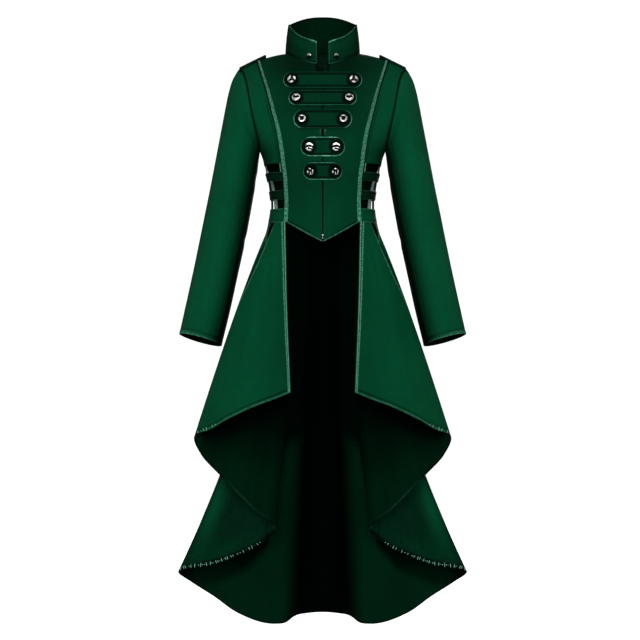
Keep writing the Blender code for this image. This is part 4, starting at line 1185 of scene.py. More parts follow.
# The studs' one wide stroke runs low across the face and paints its lower part dark, as painted shade
STUD_CAST = (((0.0, -0.38, -1.1, 1.1, 0.60, 0),), 0.86, 0.34, 0)
BUTTON_SEATS = (
    (0.06, THREE_ARMS, 0.84, 0.32, 0),
    (0.20, CURVED_SLOT, 0.84, 0.40, 0.25),
    (0.05, UPRIGHT_SLOT, 0.76, 0.34, 0.34),
    (-0.08, TWO_ARCS, 0.80, 0.42, 0.12),
    (0.08, TWO_SLOTS, 0.66, 0.82, 0.14),
)
for number, (_, top, bottom, button_x) in enumerate(TAB_ROWS, 1):
    lean, *cast = BUTTON_SEATS[number - 1]
    for label, side in SIDES:
        points, out = mirrored_torso(np.array([[side * button_x]]), np.array([[(top + bottom) / 2]]))
        facing = out[0, 0] + np.array([0.0, 0.0, lean])
        facing = facing / np.linalg.norm(facing)
        seat = points[0, 0] + out[0, 0] * (TRIM_GAP + TAB_THICKNESS + BUTTON_GAP)
        place_disc(f"button_{number}_{label}", seat, facing, BUTTON_RADIUS, BUTTON_HEIGHT, cast)

# ------------------------------------------------------------
# Collar: a stand collar in two halves
#
# Satin over stiff buckram, 3 mm thick. Each half runs from the front opening to the centre back, higher
# behind than in front, with a rounded front corner, a pressed top edge, and stitching at its foot and top.
# ------------------------------------------------------------

COLLAR_NARROWING = 0.92
COLLAR_FRONT_TOP = 0.0367
COLLAR_SIDE_TOP = 0.0796
COLLAR_BACK_TOP = 0.1022
COLLAR_THICKNESS = 0.0030
COLLAR_LIFT = 0.0005
COLLAR_FRONT_COLUMNS, COLLAR_BACK_COLUMNS, COLLAR_ROWS = 52, 70, 34
CORNER_REACH = 0.0035
CORNER_DROP = 0.0016
FOOT_DROP, FOOT_FRONT_DROP = 0.0016, 0.0020


def neck_x(angles, neck):
    return NECK_X * np.sin(np.radians(angles)) ** (2 / neck["power"])


def collar_edges(front_count, back_count):
    """Foot and head of the collar: the neck's ring, and the same ring narrowed and raised.

    The head rises slowly from the front corner, then fast to the side, and rounds over the back.
    """
    first_angle = math.degrees(math.asin((OPENING_X / NECK_X) ** (NECK_FRONT["power"] / 2)))
    front_x = neck_x(np.linspace(first_angle, 90, front_count), NECK_FRONT)
    back_x = neck_x(np.linspace(90, 180, back_count + 1)[1:], NECK_BACK)
    edges = []
    for x, behind in ((front_x, False), (back_x, True)):
        height = neckline_height(x, behind)
        edges.append(torso(turn_at(x, height, behind), height))
    foot = np.concatenate(edges)
    foot[front_count - 1, 1] = 0.0
    foot[-1, 0] = CENTRE_GAP
    foot[:, 2] += COLLAR_LIFT
    head = foot * np.array([COLLAR_NARROWING, COLLAR_NARROWING, 1.0])
    head[-1, 0] = foot[-1, 0]
    head[:, 0] += (foot[0, 0] - head[0, 0]) * fading(np.arange(len(foot)) / front_count, 0.25)
    side_x = head[front_count - 1, 0]
    reach = (head[:, 0] - head[0, 0]) / (side_x - head[0, 0])
    reach = 0.45 * reach + 0.55 * reach**4
    front_top = COLLAR_FRONT_TOP + (COLLAR_SIDE_TOP - COLLAR_FRONT_TOP) * reach
    back_top = COLLAR_SIDE_TOP + (COLLAR_BACK_TOP - COLLAR_SIDE_TOP) * (1 - (head[:, 0] / side_x) ** 2.3)
    head[:, 2] = np.where(np.arange(len(foot)) < front_count, front_top, back_top)
    along = np.gradient(foot, axis=0)
    out = np.stack([along[:, 1], -along[:, 0], 0 * along[:, 0]], axis=1)
    out[-1, 0] = 0.0
    return foot, head, out / np.linalg.norm(out, axis=1, keepdims=True)


foot, head, collar_out = collar_edges(COLLAR_FRONT_COLUMNS, COLLAR_BACK_COLUMNS)
foot[:, 2] -= FOOT_DROP + FOOT_FRONT_DROP * fading(foot[:, 0], 0.040) * (foot[:, 1] < 0)
share = np.linspace(0, 1, COLLAR_ROWS)[:, None, None]
collar = foot[None] * (1 - share) + head[None] * share
from_front, risen = grid_arcs(collar)
to_top = risen[-1:] - risen
corner = fading(from_front, CORNER_REACH) * fading(to_top, CORNER_REACH)
collar[..., 2] -= CORNER_DROP * corner
swell = 0.0012 * np.sin(np.pi * share[..., 0]) + 0.0004 * np.sin(from_front * 95.0) * share[..., 0] ** 2
outer = collar + collar_out[None] * (swell - 0.0004)[..., None]
inner = outer - collar_out[None] * COLLAR_THICKNESS
# Painted highlight along the top edge, strongest near the front, on the front end, above the foot and at the
# rounded corner. Painted shade over the whole collar, along its foot and stitch lines, at its side, along its
# top edge behind, and inside, more towards the top and along the top edge behind.
near_front = smooth_step((0.022 - from_front) / 0.012)
pressed = fading(to_top, 0.0018 + 0.0014 * near_front) * (0.62 + 0.80 * near_front)
pressed = pressed * np.clip(1.50 - from_front / 0.080, 0.20, 1)
front_end = 0.35 * fading(from_front, 0.0012)
foot_edge = 0.5 * fading(risen - 0.0030, 0.0012) * fading(from_front, 0.030)
pale = np.maximum(np.maximum(pressed, front_end), foot_edge) + 0.9 * corner
around, risen_share = np.linspace(0, 1, outer.shape[1]), share[..., 0]
past_side = around > 0.40
dark = 0.58 + 0.9 * fading(risen - 0.0012, 0.0020) + 0.35 * fading(to_top - 0.0045, 0.0010)
dark = dark + 0.45 * fading(risen - 0.0068, 0.0016) + 0.85 * fading(around - 0.425, 0.040)
dark = dark + 0.12 * smooth_step((around - 0.20) / 0.12) + 0.12 * fading(risen_share - 0.35, 0.25)
dark = dark + 0.9 * fading(to_top, 0.0040) * past_side
dark = dark * (1 - 0.9 * np.clip(pale, 0, 1))
back_edge = 0.95 * fading(to_top, 0.0040) * past_side
both_sides(
    "collar", outer, inner, CLOTH_AND_LINING, rests_on=("front", "side_front", "back"), pale=pale, dark=dark,
    inner_dark=np.maximum(0.22 * risen_share, back_edge),
)

# ------------------------------------------------------------
# Front stands
#
# A narrow near-black strip stands behind each front edge, from the collar's corner down to where the fronts
# meet, as a painted shadow in the throat. It is sewn in with the collar and closes the gap at the throat.
# ------------------------------------------------------------

STAND_WIDTH = 0.0080
STAND_OVERLAP = 0.0034
STAND_THICKNESS = 0.0012
STAND_FOOT = -0.062
STAND_ROWS, STAND_COLUMNS = 26, 9
STAND_INSET = 0.0006

low = np.linspace(foot[0, 2] - 0.0040, STAND_FOOT, STAND_ROWS)
low_turn = opening_turn(low)
low_edge = torso(low_turn, low) - torso_out(low_turn + 0.004, low) * (CLOTH + STAND_INSET)
edge = np.concatenate([inner[:0:-1, 0] - collar_out[0] * STAND_INSET, low_edge])
past_edge = np.minimum(STAND_OVERLAP, edge[:, 0] - 0.0003)[:, None]
reach = np.linspace(0, 1, STAND_COLUMNS)[None, :] * (past_edge + STAND_WIDTH) - past_edge
stand = edge[:, None] + np.array([1.0, 0.0, 0.0]) * reach[..., None]
# Painted shadow: the strip is near black on both faces
both_sides(
    "front_shadow_stand", stand, stand + np.array([0.0, STAND_THICKNESS, 0.0]), CLOTH_AND_LINING, held="laid",
    rests_on=("collar", "front"), solid=False, dark=0.97, inner_dark=0.97,
)

# ------------------------------------------------------------
# Stitching and studs of the collar
#
# Two rows of small stitches run above the collar's foot and one below its top edge. A stud of the buttons'
# make is pressed through near each front corner.
# ------------------------------------------------------------

STUD_X = 0.0290
STUD_HEIGHT_ON_COLLAR = 0.0030
STUD_GAP = 0.0009
COLLAR_STITCH_ROWS = (4, 7, -5)

collar_rows = [
    stitch_row(outer[row, 2:-1], collar_out[2:-1], width=TOPSTITCH_WIDTH) for row in COLLAR_STITCH_ROWS
]
stitched_both("collar_stitches", collar_rows, thread_green)

column = int(np.searchsorted(foot[:COLLAR_FRONT_COLUMNS - 2, 0], STUD_X))
stud_share = (STUD_HEIGHT_ON_COLLAR - foot[column, 2]) / (head[column, 2] - foot[column, 2])
stud_seat = foot[column] * (1 - stud_share) + head[column] * stud_share
stud_facing = np.cross(foot[column + 1] - foot[column], head[column] - foot[column])
stud_facing = stud_facing / np.linalg.norm(stud_facing)
stud_facing = stud_facing * np.sign(np.dot(stud_facing, collar_out[column]))
for label, side in SIDES:
    mirror = np.array([side, 1.0, 1.0])
    seat = (stud_seat + stud_facing * STUD_GAP) * mirror
    place_disc(f"collar_stud_{label}", seat, stud_facing * mirror, STUD_RADIUS, STUD_HEIGHT, STUD_CAST)

# ------------------------------------------------------------
# Sleeves: an upper and an under sleeve on each side
#
# Long two-piece sleeves of the same satin, set smoothly into the armhole and slightly bent at the elbow.
# Their seam allowance is tucked behind the bodice's edge. The cuff is turned up and held by one row of
# stitching, and the cloth creases in the bend.
# ------------------------------------------------------------

SLEEVE = {
    "share": (0.00, 0.04, 0.09, 0.15, 0.22, 0.31, 0.43, 0.55, 0.71, 0.88, 1.00),
    "outer_x": (0.1886, 0.2018, 0.2112, 0.2188, 0.2269, 0.2381, 0.2532, 0.2678, 0.2878, 0.3076, 0.3208),
    "outer_z": (
        -0.0207, -0.0430, -0.0720, -0.1080, -0.1500, -0.2080, -0.2870, -0.3600, -0.4610, -0.5550, -0.6160,
    ),
    "inner_x": (0.1430, 0.1418, 0.1422, 0.1432, 0.1450, 0.1489, 0.1591, 0.1720, 0.1911, 0.2102, 0.2260),
    "inner_z": (
        -0.2050, -0.2085, -0.2135, -0.2215, -0.2360, -0.2660, -0.3270, -0.3970, -0.4880, -0.5770, -0.6424,
    ),
    "half_depth": (0.056, 0.056, 0.055, 0.054, 0.053, 0.051, 0.049, 0.047, 0.045, 0.043, 0.042),
    "middle_y": (0.0, 0.0, 0.001, 0.002, 0.004, 0.006, 0.006, 0.002, -0.010, -0.025, -0.036),
}
SLEEVE_BLEND = 0.30
SLEEVE_SEAM_HEIGHT = -0.172
ARMHOLE_OUTWARD = (0.97, 0.0, -0.25)
ARMHOLE_CENTRE = (0.1650, 0.0, -0.1130)
ALLOWANCE_DEPTH, ALLOWANCE_THICKNESS = 0.0038, 0.0014
ALLOWANCE_WIDTH = 0.0024
CUFF_DEPTH = 0.0095
SEAM_GAP_RING = 0.003
SLEEVE_ROWS, UPPER_COLUMNS, UNDER_COLUMNS = 150, 104, 46


def armhole_ring(ring):
    """The armhole seen as a ring: 0 at the shoulder, a quarter turn in front, half a turn underarm."""
    top, bottom = ARMHOLE[0][0], ARMHOLE[-1][0]
    height = (top + bottom) / 2 + (top - bottom) / 2 * np.cos(ring)
    turn = turn_at(curved_seam_at(ARMHOLE, height), height)
    turn = np.where(np.sin(ring) >= 0, turn, math.pi - turn)
    return torso(turn, height), torso_out(turn, height)


def sleeve_section(share):
    value = {name: curve_through(SLEEVE["share"], numbers, share) for name, numbers in SLEEVE.items()}
    outer = np.stack([value["outer_x"], value["middle_y"], value["outer_z"]], axis=-1)
    inner = np.stack([value["inner_x"], value["middle_y"], value["inner_z"]], axis=-1)
    return (outer + inner) / 2, (outer - inner) / 2, value["half_depth"]


def sleeve_tube(ring, share):
    """A slanted oval at each share of the arm: its middle, half its width sideways, half its depth back."""
    middle, half, depth = sleeve_section(share)
    axis = sleeve_section(share + 0.01)[0] - sleeve_section(share - 0.01)[0]
    axis /= np.linalg.norm(axis, axis=-1, keepdims=True)
    backward = np.array([0.0, 1.0, 0.0]) - axis * axis[..., 1:2]
    backward /= np.linalg.norm(backward, axis=-1, keepdims=True)
    return middle + half * np.cos(ring)[..., None] - backward * (depth * np.sin(ring))[..., None]


def sleeve(ring, share):
    """The sleeve's outer face: its tube, drawn into the armhole's ring over the first part of the arm."""
    ring, share = np.broadcast_arrays(np.asarray(ring, float), np.asarray(share, float))
    fade = np.clip(1 - share / SLEEVE_BLEND, 0, 1)[..., None] ** 2
    return sleeve_tube(ring, share) + fade * (armhole_ring(ring)[0] - sleeve_tube(ring, 0 * share))


# Creases as (ring in degrees, share of the arm) at both ends, width and depth in metres
SLEEVE_CREASES = (
    ((40, 0.10), (112, 0.26), 0.016, 0.0022),
    ((66, 0.05), (122, 0.17), 0.012, 0.0020),
    ((92, 0.24), (128, 0.36), 0.014, 0.0016),
    ((38, 0.47), (116, 0.55), 0.015, 0.0020),
    ((62, 0.56), (128, 0.60), 0.012, 0.0018),
    ((24, 0.62), (92, 0.70), 0.016, 0.0014),
    ((-40, 0.10), (-112, 0.25), 0.016, 0.0024),
    ((-70, 0.05), (-124, 0.15), 0.012, 0.0020),
    ((-36, 0.50), (-118, 0.57), 0.015, 0.0022),
    ((-60, 0.60), (-126, 0.62), 0.013, 0.0018),
    ((-30, 0.74), (-100, 0.80), 0.016, 0.0014),
    ((14, 0.84), (70, 0.90), 0.013, 0.0010),
    ((150, 0.30), (210, 0.34), 0.013, 0.0016),
    ((148, 0.55), (214, 0.58), 0.012, 0.0018),
)


def make_sleeve(node, start, end, columns, rests_on):
    """One piece of the sleeve, from its first to its last place on the ring, with two rows tucked in."""
    ring, share = np.meshgrid(np.linspace(start, end, columns), np.linspace(0, 1, SLEEVE_ROWS))
    points = sleeve(ring, share)
    out = outward(sleeve, ring, np.clip(share, 4 * FINE_STEP, 1 - 4 * FINE_STEP))
    turned = np.degrees(np.arccos(np.cos(ring)))
    under = np.clip((turned - 60) / 50, 0, 1)
    at_seam = (np.clip(1 - share / 0.04, 0, 1) * (1 - under))[..., None]
    out = out * (1 - at_seam) + armhole_ring(ring)[1] * at_seam
    out /= np.linalg.norm(out, axis=-1, keepdims=True)
    points = points + np.array(ARMHOLE_OUTWARD) * 0.0005 * np.clip(1 - share / 0.02, 0, 1)[..., None]

    along, fallen = grid_arcs(points)
    to_seam = np.minimum(along, along[:, -1:] - along)
    to_cuff = fallen[-1:] - fallen
    lowered = 0.0003 * fading(to_seam, SEAM_SHADOW) + SEAM_DIP * fading(fallen, 0.0022)
    lowered = lowered + 0.0005 * fading(to_cuff - CUFF_DEPTH, 0.0016) - 0.0004 * (to_cuff < CUFF_DEPTH)
    lowered = lowered + creased(
        points, lambda ring, share: sleeve(np.radians(ring), share), SLEEVE_CREASES, 24
    )
    outer = points - out * lowered[..., None]
    # Painted highlight at the cuff's edge, above the cuff in front, and faintly down the front of the arm.
    # Painted shade at the armhole and in the cuff's fold, over the inner side of the arm where light reaches
    # least, and a little more towards the cuff
    pale = 0.50 * fading(to_cuff, 0.0014) + 0.30 * fading(to_cuff - 0.0042, 0.0030) * fading(ring - 0.5, 0.9)
    pale = pale + 0.018 * fading(turned - 40, 28)
    inner_side = np.clip((turned - 84) / 62, 0, 1)
    dark = 0.08 * fading(to_seam, 0.0010) + 0.85 * fading(fallen, 0.0024)
    dark = dark + 0.50 * fading(to_cuff - CUFF_DEPTH, 0.0018) + 0.88 * inner_side**1.5
    dark = dark + 0.17 * share * smooth_step((turned - 20) / 60)

    # The allowance: from the sleeve's first row, behind the body's edge and towards the armhole's middle
    body_out = armhole_ring(ring[:1])[1]
    inward = np.array(ARMHOLE_CENTRE) - outer[:1]
    inward = inward - body_out * (inward * body_out).sum(axis=-1, keepdims=True)
    inward = inward / np.linalg.norm(inward, axis=-1, keepdims=True)
    tucked = outer[:1] - body_out * ALLOWANCE_DEPTH
    turned_in = tucked + inward * ALLOWANCE_THICKNESS
    whole = np.concatenate([tucked - inward * ALLOWANCE_WIDTH, turned_in, outer])
    behind = whole[:2] - body_out * ALLOWANCE_THICKNESS
    behind[1:] += inward * ALLOWANCE_THICKNESS
    inner = np.concatenate([behind, outer - out * CLOTH])
    # The tucked allowance is painted black, as painted shade behind the body's edge
    pale = np.concatenate([np.full((2, columns), 0.0), pale])
    dark = np.concatenate([np.full((2, columns), 1.0), dark])
    both_sides(node, whole, inner, CLOTH_AND_LINING, pale=pale, dark=dark, inner_dark=0.8, rests_on=rests_on)
    cuff_line, cuff_out = level_line(outer, out, to_cuff, CUFF_DEPTH)
    stitched_both(f"{node}_stitches", [stitch_row(cuff_line, cuff_out, width=TOPSTITCH_WIDTH)], thread_green)


armhole_middle = (ARMHOLE[0][0] + ARMHOLE[-1][0]) / 2
armhole_reach = (ARMHOLE[0][0] - ARMHOLE[-1][0]) / 2
seam_ring = math.acos((SLEEVE_SEAM_HEIGHT - armhole_middle) / armhole_reach)
upper_end, under_start = seam_ring - SEAM_GAP_RING, seam_ring + SEAM_GAP_RING
make_sleeve("sleeve_upper", -upper_end, upper_end, UPPER_COLUMNS, ("side_front", "side_back"))
make_sleeve("sleeve_under", under_start, 2 * math.pi - under_start, UNDER_COLUMNS, ("sleeve_upper",))

# ------------------------------------------------------------
# Shoulder straps
#
# A short strap coloured near black, over a stiff core, lies along each shoulder seam, sewn in at the
# armhole. Its pointed inner end is padded, so it stands up from the shoulder.
# ------------------------------------------------------------

STIFF_CLOTH = 0.0026
SHOULDER_STRAP = {"inner": 0.1270, "outer": 0.1862, "half_width": 0.0160, "lift": 0.0050}
SHOULDER_STRAP_ROUND = {"inner": 0.075, "outer": 0.040}
BLACK = (0.0014, 0.0030, 0.0022)
BLACK_PALE = (0.010, 0.035, 0.022)
SHOULDER_COLUMNS, SHOULDER_ROWS = 56, 30
STRAP_WIDTHS = {"share": (0, 0.15, 0.4, 0.8, 1), "width": (0.22, 0.95, 1, 1, 0.9)}

cloth_black = cloth_finish("black drill", BLACK, BLACK_PALE, 0.0014, 0.62, 0.10)

strap_share = np.linspace(0, 1, SHOULDER_COLUMNS)
strap_x = SHOULDER_STRAP["inner"] + (SHOULDER_STRAP["outer"] - SHOULDER_STRAP["inner"]) * strap_share
strap_half = SHOULDER_STRAP["half_width"] * np.interp(strap_share, *STRAP_WIDTHS.values())
across = np.linspace(-1, 1, SHOULDER_ROWS)[:, None] * strap_half[None, :]
round_off = SHOULDER_STRAP_ROUND["inner"] * (1 - strap_share) + SHOULDER_STRAP_ROUND["outer"] * strap_share
drop = SHOULDER_RADIUS * (1 - np.sqrt(1 - (across / round_off) ** 2))
rise = TRIM_GAP + SHOULDER_STRAP["lift"] * (1 - strap_share) ** 2
inner = np.stack([strap_x + 0 * across, across, shoulder_height(strap_x) - drop + rise], axis=-1)
out = np.cross(np.gradient(inner, axis=1), np.gradient(inner, axis=0))
out = out / np.linalg.norm(out, axis=-1, keepdims=True)
out = out * np.sign(out[..., 2:3])
to_side = np.minimum(strap_half[None, :] - np.abs(across), (strap_x - SHOULDER_STRAP["inner"])[None, :])
thickness = STIFF_CLOTH * (1 - 0.25 * fading(to_side - 0.0040, 0.0010) - 0.3 * fading(to_side, 0.0009))
under = inner.copy()
under[..., 2] -= 0.92 * SHOULDER_STRAP["lift"] * (1 - strap_share) ** 2
strap_sheet = inner + out * thickness[..., None]
both_sides(
    "shoulder_strap", strap_sheet, under, (cloth_black, cloth_black), slot="dark_cloth", held="laid",
    rests_on=("side_front", "side_back"), pale=0.5 * fading(to_side, 0.0012),
)
stitched_both("shoulder_strap_stitches", [
    stitch_row(strap_sheet[row, 8:], out[row, 8:], width=TOPSTITCH_WIDTH) for row in (4, -5)
], thread_green)

# ------------------------------------------------------------
# Skirt: three gores a side
#
# The tails are cut as wide gores that lengthen from the front edge to the centre back. They hang in folds,
# so the long hem doubles back on itself in two falls and shows the lining, painted dark as shade and lighter
# where lit. The hem is turned twice and sewn down, and the centre back falls in a pleat painted black as
# shade.
# ------------------------------------------------------------

# Each rib: where it leaves the waist in degrees, its hem point, its flare, and its pull inward
SKIRT_COLUMNS = ("rib", "turn", "hem_x", "hem_y", "hem_z", "flare", "pull")
SKIRT_RIBS = (
    ("front_edge", 40.8, 0.0706, -0.172, -0.743, 1.00, -0.0016),
    ("front_middle", 52.0, 0.1700, -0.128, -0.786, 0.96, 0.000),
    ("front_outer", 60.0, 0.2560, -0.076, -0.824, 0.90, 0.000),
    ("fold_a", 66.0, 0.2875, -0.040, -0.846, 0.87, 0.000),
    ("fold_a_back", 72.0, 0.2755, -0.008, -0.884, 0.89, 0.000),
    ("notch", 83.0, 0.2306, 0.022, -0.937, 0.94, 0.000),
    ("side_inner", 97.0, 0.1520, 0.052, -1.020, 1.00, 0.019),
    ("fold_b", 106.0, 0.1050, 0.078, -1.064, 1.00, 0.032),
    ("side_back", 114.0, 0.1300, 0.098, -1.088, 1.06, 0.023),
    ("back_outer", 125.0, 0.2460, 0.120, -1.144, 1.32, 0.004),
    ("fold_c", 134.0, 0.3334, 0.152, -1.1660, 1.57, 0.000),
    ("fold_c_back", 140.0, 0.3050, 0.188, -1.1920, 1.47, 0.000),
    ("back_sweep", 145.0, 0.2530, 0.203, -1.2270, 1.32, 0.000),
    ("back_middle", 150.0, 0.1980, 0.214, -1.2668, 1.22, 0.000),
    ("back_lobe", 160.0, 0.1120, 0.214, -1.2925, 1.10, 0.000),
    ("lobe_inner", 164.5, 0.0861, 0.2085, -1.2890, 1.05, 0.002),
    ("fold_d", 168.0, 0.0660, 0.202, -1.2735, 1.00, 0.004),
    ("pleat", 174.0, 0.0400, 0.236, -1.2705, 1.00, 0.000),
    ("centre_back", 180.0, 0.0000, 0.256, -1.2695, 1.00, 0.000),
)
# Each gore: its first and last rib, its columns and rows, and what it hangs from
SKIRT_PANELS = {
    "skirt_front": ("front_edge", "fold_a_back", 78, 150, ("belt", "skirt_side")),
    "skirt_side": ("fold_a_back", "side_back", 92, 160, ("skirt_front", "skirt_back")),
    "skirt_back": ("side_back", "centre_back", 136, 170, ("back", "side_back")),
}
SKIRT_TOP = WAIST_HEIGHT - 0.0008
PULL_SHAPE = 16.0
HEM_DEPTH = 0.0110
HEM_STITCH = (0.0040, 0.0028, 0.0008)
WHIP_PLACE, WHIP_WIDTH = 0.0040, 0.0016
GORE_GAP = 0.00013

rib_names, *rib_columns = zip(*SKIRT_RIBS)
rib_values = {name: np.array(column, float) for name, column in zip(SKIRT_COLUMNS[1:], rib_columns)}
hem_points = np.stack([rib_values["hem_x"], rib_values["hem_y"], rib_values["hem_z"]], axis=1)
hem_steps = np.linalg.norm(np.diff(hem_points, axis=0), axis=1)
rib_places = np.concatenate([[0.0], np.cumsum(hem_steps)]) / hem_steps.sum()
rib_place_of = dict(zip(rib_names, rib_places))
all_places = np.append(rib_places, 2 - rib_places[-2])
beyond_back = {"turn": 360 - rib_values["turn"][-2], "hem_x": -rib_values["hem_x"][-2]}


def skirt(place, fall):
    """The skirt's outer face: place runs along the hem from the front edge, fall from waist to hem.

    Each rib leaves the waist at its turn and reaches its hem point, its plan position growing with fall to
    the power of its flare and drawn inward about its middle by its pull, while its height falls evenly. The
    front hem sags a little on the bias of the cloth.
    """
    place, fall = np.broadcast_arrays(np.asarray(place, float), np.asarray(fall, float))
    rib = {}
    for name, numbers in rib_values.items():
        rib[name] = curve_through(all_places, np.append(numbers, beyond_back.get(name, numbers[-2])), place)
    waist = torso(np.radians(rib["turn"]), np.full(place.shape, WAIST_HEIGHT))
    spread = np.maximum(fall, 1e-9) ** rib["flare"]
    x = waist[..., 0] + (rib["hem_x"] - waist[..., 0]) * spread
    x = x - rib["pull"] * PULL_SHAPE * fall**2 * (1 - fall) ** 2
    y = waist[..., 1] + (rib["hem_y"] - waist[..., 1]) * spread
    hem_z = rib["hem_z"] - 0.0060 * fading(place - 0.166, 0.028) + 0.0030 * fading(place - 0.080, 0.035)
    return np.stack([x, y, SKIRT_TOP + (hem_z - SKIRT_TOP) * fall], axis=-1)


def skirt_out(place, fall):
    return -outward(skirt, np.clip(place, 4e-6, 1 - 4e-6), np.clip(fall, 0.004, 1 - 4e-6))


# Creases as (rib place, fall) at both ends, width and depth in metres
SKIRT_CREASES = {
    "skirt_front": (
        ((0.040, 0.03), (0.060, 0.34), 0.008, 0.0016),
        ((0.075, 0.02), (0.105, 0.30), 0.009, 0.0018),
        ((0.100, 0.30), (0.085, 0.80), 0.022, 0.0028),
        ((0.045, 0.45), (0.040, 0.90), 0.018, 0.0020),
        ((0.160, 0.35), (0.150, 0.92), 0.020, 0.0026),
    ),
    "skirt_side": (
        ((0.235, 0.05), (0.260, 0.50), 0.012, 0.0026),
        ((0.300, 0.10), (0.320, 0.70), 0.018, 0.0036),
        ((0.370, 0.15), (0.390, 0.80), 0.018, 0.0034),
        ((0.265, 0.55), (0.250, 0.95), 0.018, 0.0026),
    ),
    "skirt_back": (
        ((0.470, 0.04), (0.480, 0.60), 0.014, 0.0030),
        ((0.560, 0.20), (0.540, 0.95), 0.024, 0.0040),
        ((0.620, 0.10), (0.600, 0.80), 0.018, 0.0034),
        ((0.700, 0.06), (0.720, 0.70), 0.018, 0.0036),
        ((0.780, 0.15), (0.800, 0.90), 0.022, 0.0040),
        ((0.860, 0.05), (0.870, 0.75), 0.016, 0.0032),
    ),
}

# Where the lining turns from its inner dark to its lit part: fall at each rib place
LINING_LIGHT = (
    (0.260, 0.90), (0.288, 0.850), (0.348, 0.740), (0.400, 0.650), (0.452, 0.580), (0.480, 0.58),
    (0.700, 1.02), (0.720, 0.990), (0.758, 0.950), (0.823, 0.860), (0.862, 0.780), (0.885, 0.52),
    (1.000, 0.46),
)
SIDE_SEAM = {"fall": (0.0, 0.103, 0.25, 0.42), "place": (0.160, 0.170, 0.190, 0.215)}
SIDE_WEDGE = {"fall": (0.0, 0.085), "place": (0.236, 0.184)}

# Loose stitches over the hem's edge: from and to which rib place, their pitch, length and turn
WHIPPED = {
    "skirt_front": (("tacked", 0.152, 0.214, 0.0086, 0.0050, 0.9),),
    "skirt_back": (
        ("whipped", 0.5045, 0.560, 0.0074, 0.0052, 1.15),
        ("whipped", 0.560, 0.666, 0.0046, 0.0054, 1.05),
    ),
}


def lining_marks(place, fall, to_hem):
    """Painted shade deep inside and black in the pleat, lighter where the lining is lit, and a painted
    highlight along the hem where the side fall shows it.
    """
    light_fall = np.interp(place, *np.array(LINING_LIGHT).T)
    side_fall = smooth_step((0.48 - place) / 0.02)
    deep = smooth_step((fall - light_fall) / (0.85 * (1 - light_fall)))
    lit = smooth_step((fall - light_fall) / 0.055) * (1 - side_fall * (0.86 - 0.84 * deep))
    by_pleat = smooth_step((place - 0.880) / 0.060)
    folds = 0.10 * (0.5 + 0.5 * np.sin(place * 210 + 3.0 * fall)) + 0.30 * fading(place - 0.290, 0.045)
    folds = folds + 0.5 * fading(place - 0.462, 0.020) + 0.22 * fading(place - 0.405, 0.040)
    back_folds = 0.22 * fading(place - 0.790, 0.030) * smooth_step((0.93 - fall) / 0.03)
    held = 1 - np.clip(folds * side_fall + back_folds * (1 - side_fall), 0, 0.8)
    under_fold = (0.14 + 0.20 * smooth_step((fall - 0.86) / 0.06)) * smooth_step((place - 0.690) / 0.03)
    dark = 1 - (1 - by_pleat) * (lit * held + under_fold)
    dark = dark + 0.8 * fading(to_hem, 0.0026) * (1 - fading(place - 0.385, 0.048))
    pale = 0.20 * fading(to_hem - 0.0024, 0.0017) * fading(place - 0.385, 0.048)
    return pale, dark


def skirt_marks(place, fall, metres_per_place):
    """Outer tones: pale lines at the side seam and its wedge below the belt, painted shade in the wedge and
    beside the seam, painted shade over the face of the back fall with a lighter streak, and painted shade by
    its ridge and low in a narrow band near the side.
    """
    from_seam = (place - np.interp(fall, SIDE_SEAM["fall"], SIDE_SEAM["place"])) * metres_per_place
    from_wedge = (place - np.interp(fall, SIDE_WEDGE["fall"], SIDE_WEDGE["place"])) * metres_per_place
    on_seam, on_wedge = smooth_step((0.46 - fall) / 0.08), smooth_step((0.095 - fall) / 0.02)
    pale = 0.60 * fading(from_seam, 0.0016) * on_seam + 0.60 * fading(from_wedge, 0.0014) * on_wedge
    in_wedge = smooth_step(from_seam / 0.0020) * smooth_step(-from_wedge / 0.0020) * on_wedge
    below = fading(from_seam - 0.0052, 0.0030) * smooth_step((fall - 0.09) / 0.02) * on_seam
    back_fall = smooth_step((place - 0.462) / 0.020) * smooth_step((0.700 - place) / 0.030)
    streak = fading(place - 0.636, 0.020) * fading(fall - 0.820, 0.120)
    dark = 0.95 * in_wedge + 0.75 * below + 0.25 * fading(from_seam + 0.0026, 0.0014) * on_seam
    mottled = np.sin(place * 260 + 2.2 * np.sin(fall * 90)) * np.sin(fall * 150 + 1.4 * np.sin(place * 170))
    mottled = 0.5 + 0.5 * mottled
    dark = dark + smooth_step((fall - 0.62) / 0.10) * back_fall * (0.80 - 0.60 * streak - 0.10 * mottled)
    dark = dark - 0.12 * back_fall * fading(fall - 0.965, 0.030) * fading(place - 0.585, 0.050)
    by_ridge = smooth_step((place - 0.655) / 0.015) * smooth_step((0.735 - place) / 0.035)
    dark = np.maximum(dark, 0.85 * by_ridge * smooth_step((fall - 0.62) / 0.10))
    by_fold = smooth_step((place - 0.222) / 0.010) * smooth_step((0.262 - place) / 0.020)
    return pale, dark + 0.5 * by_fold * smooth_step((fall - 0.90) / 0.06)


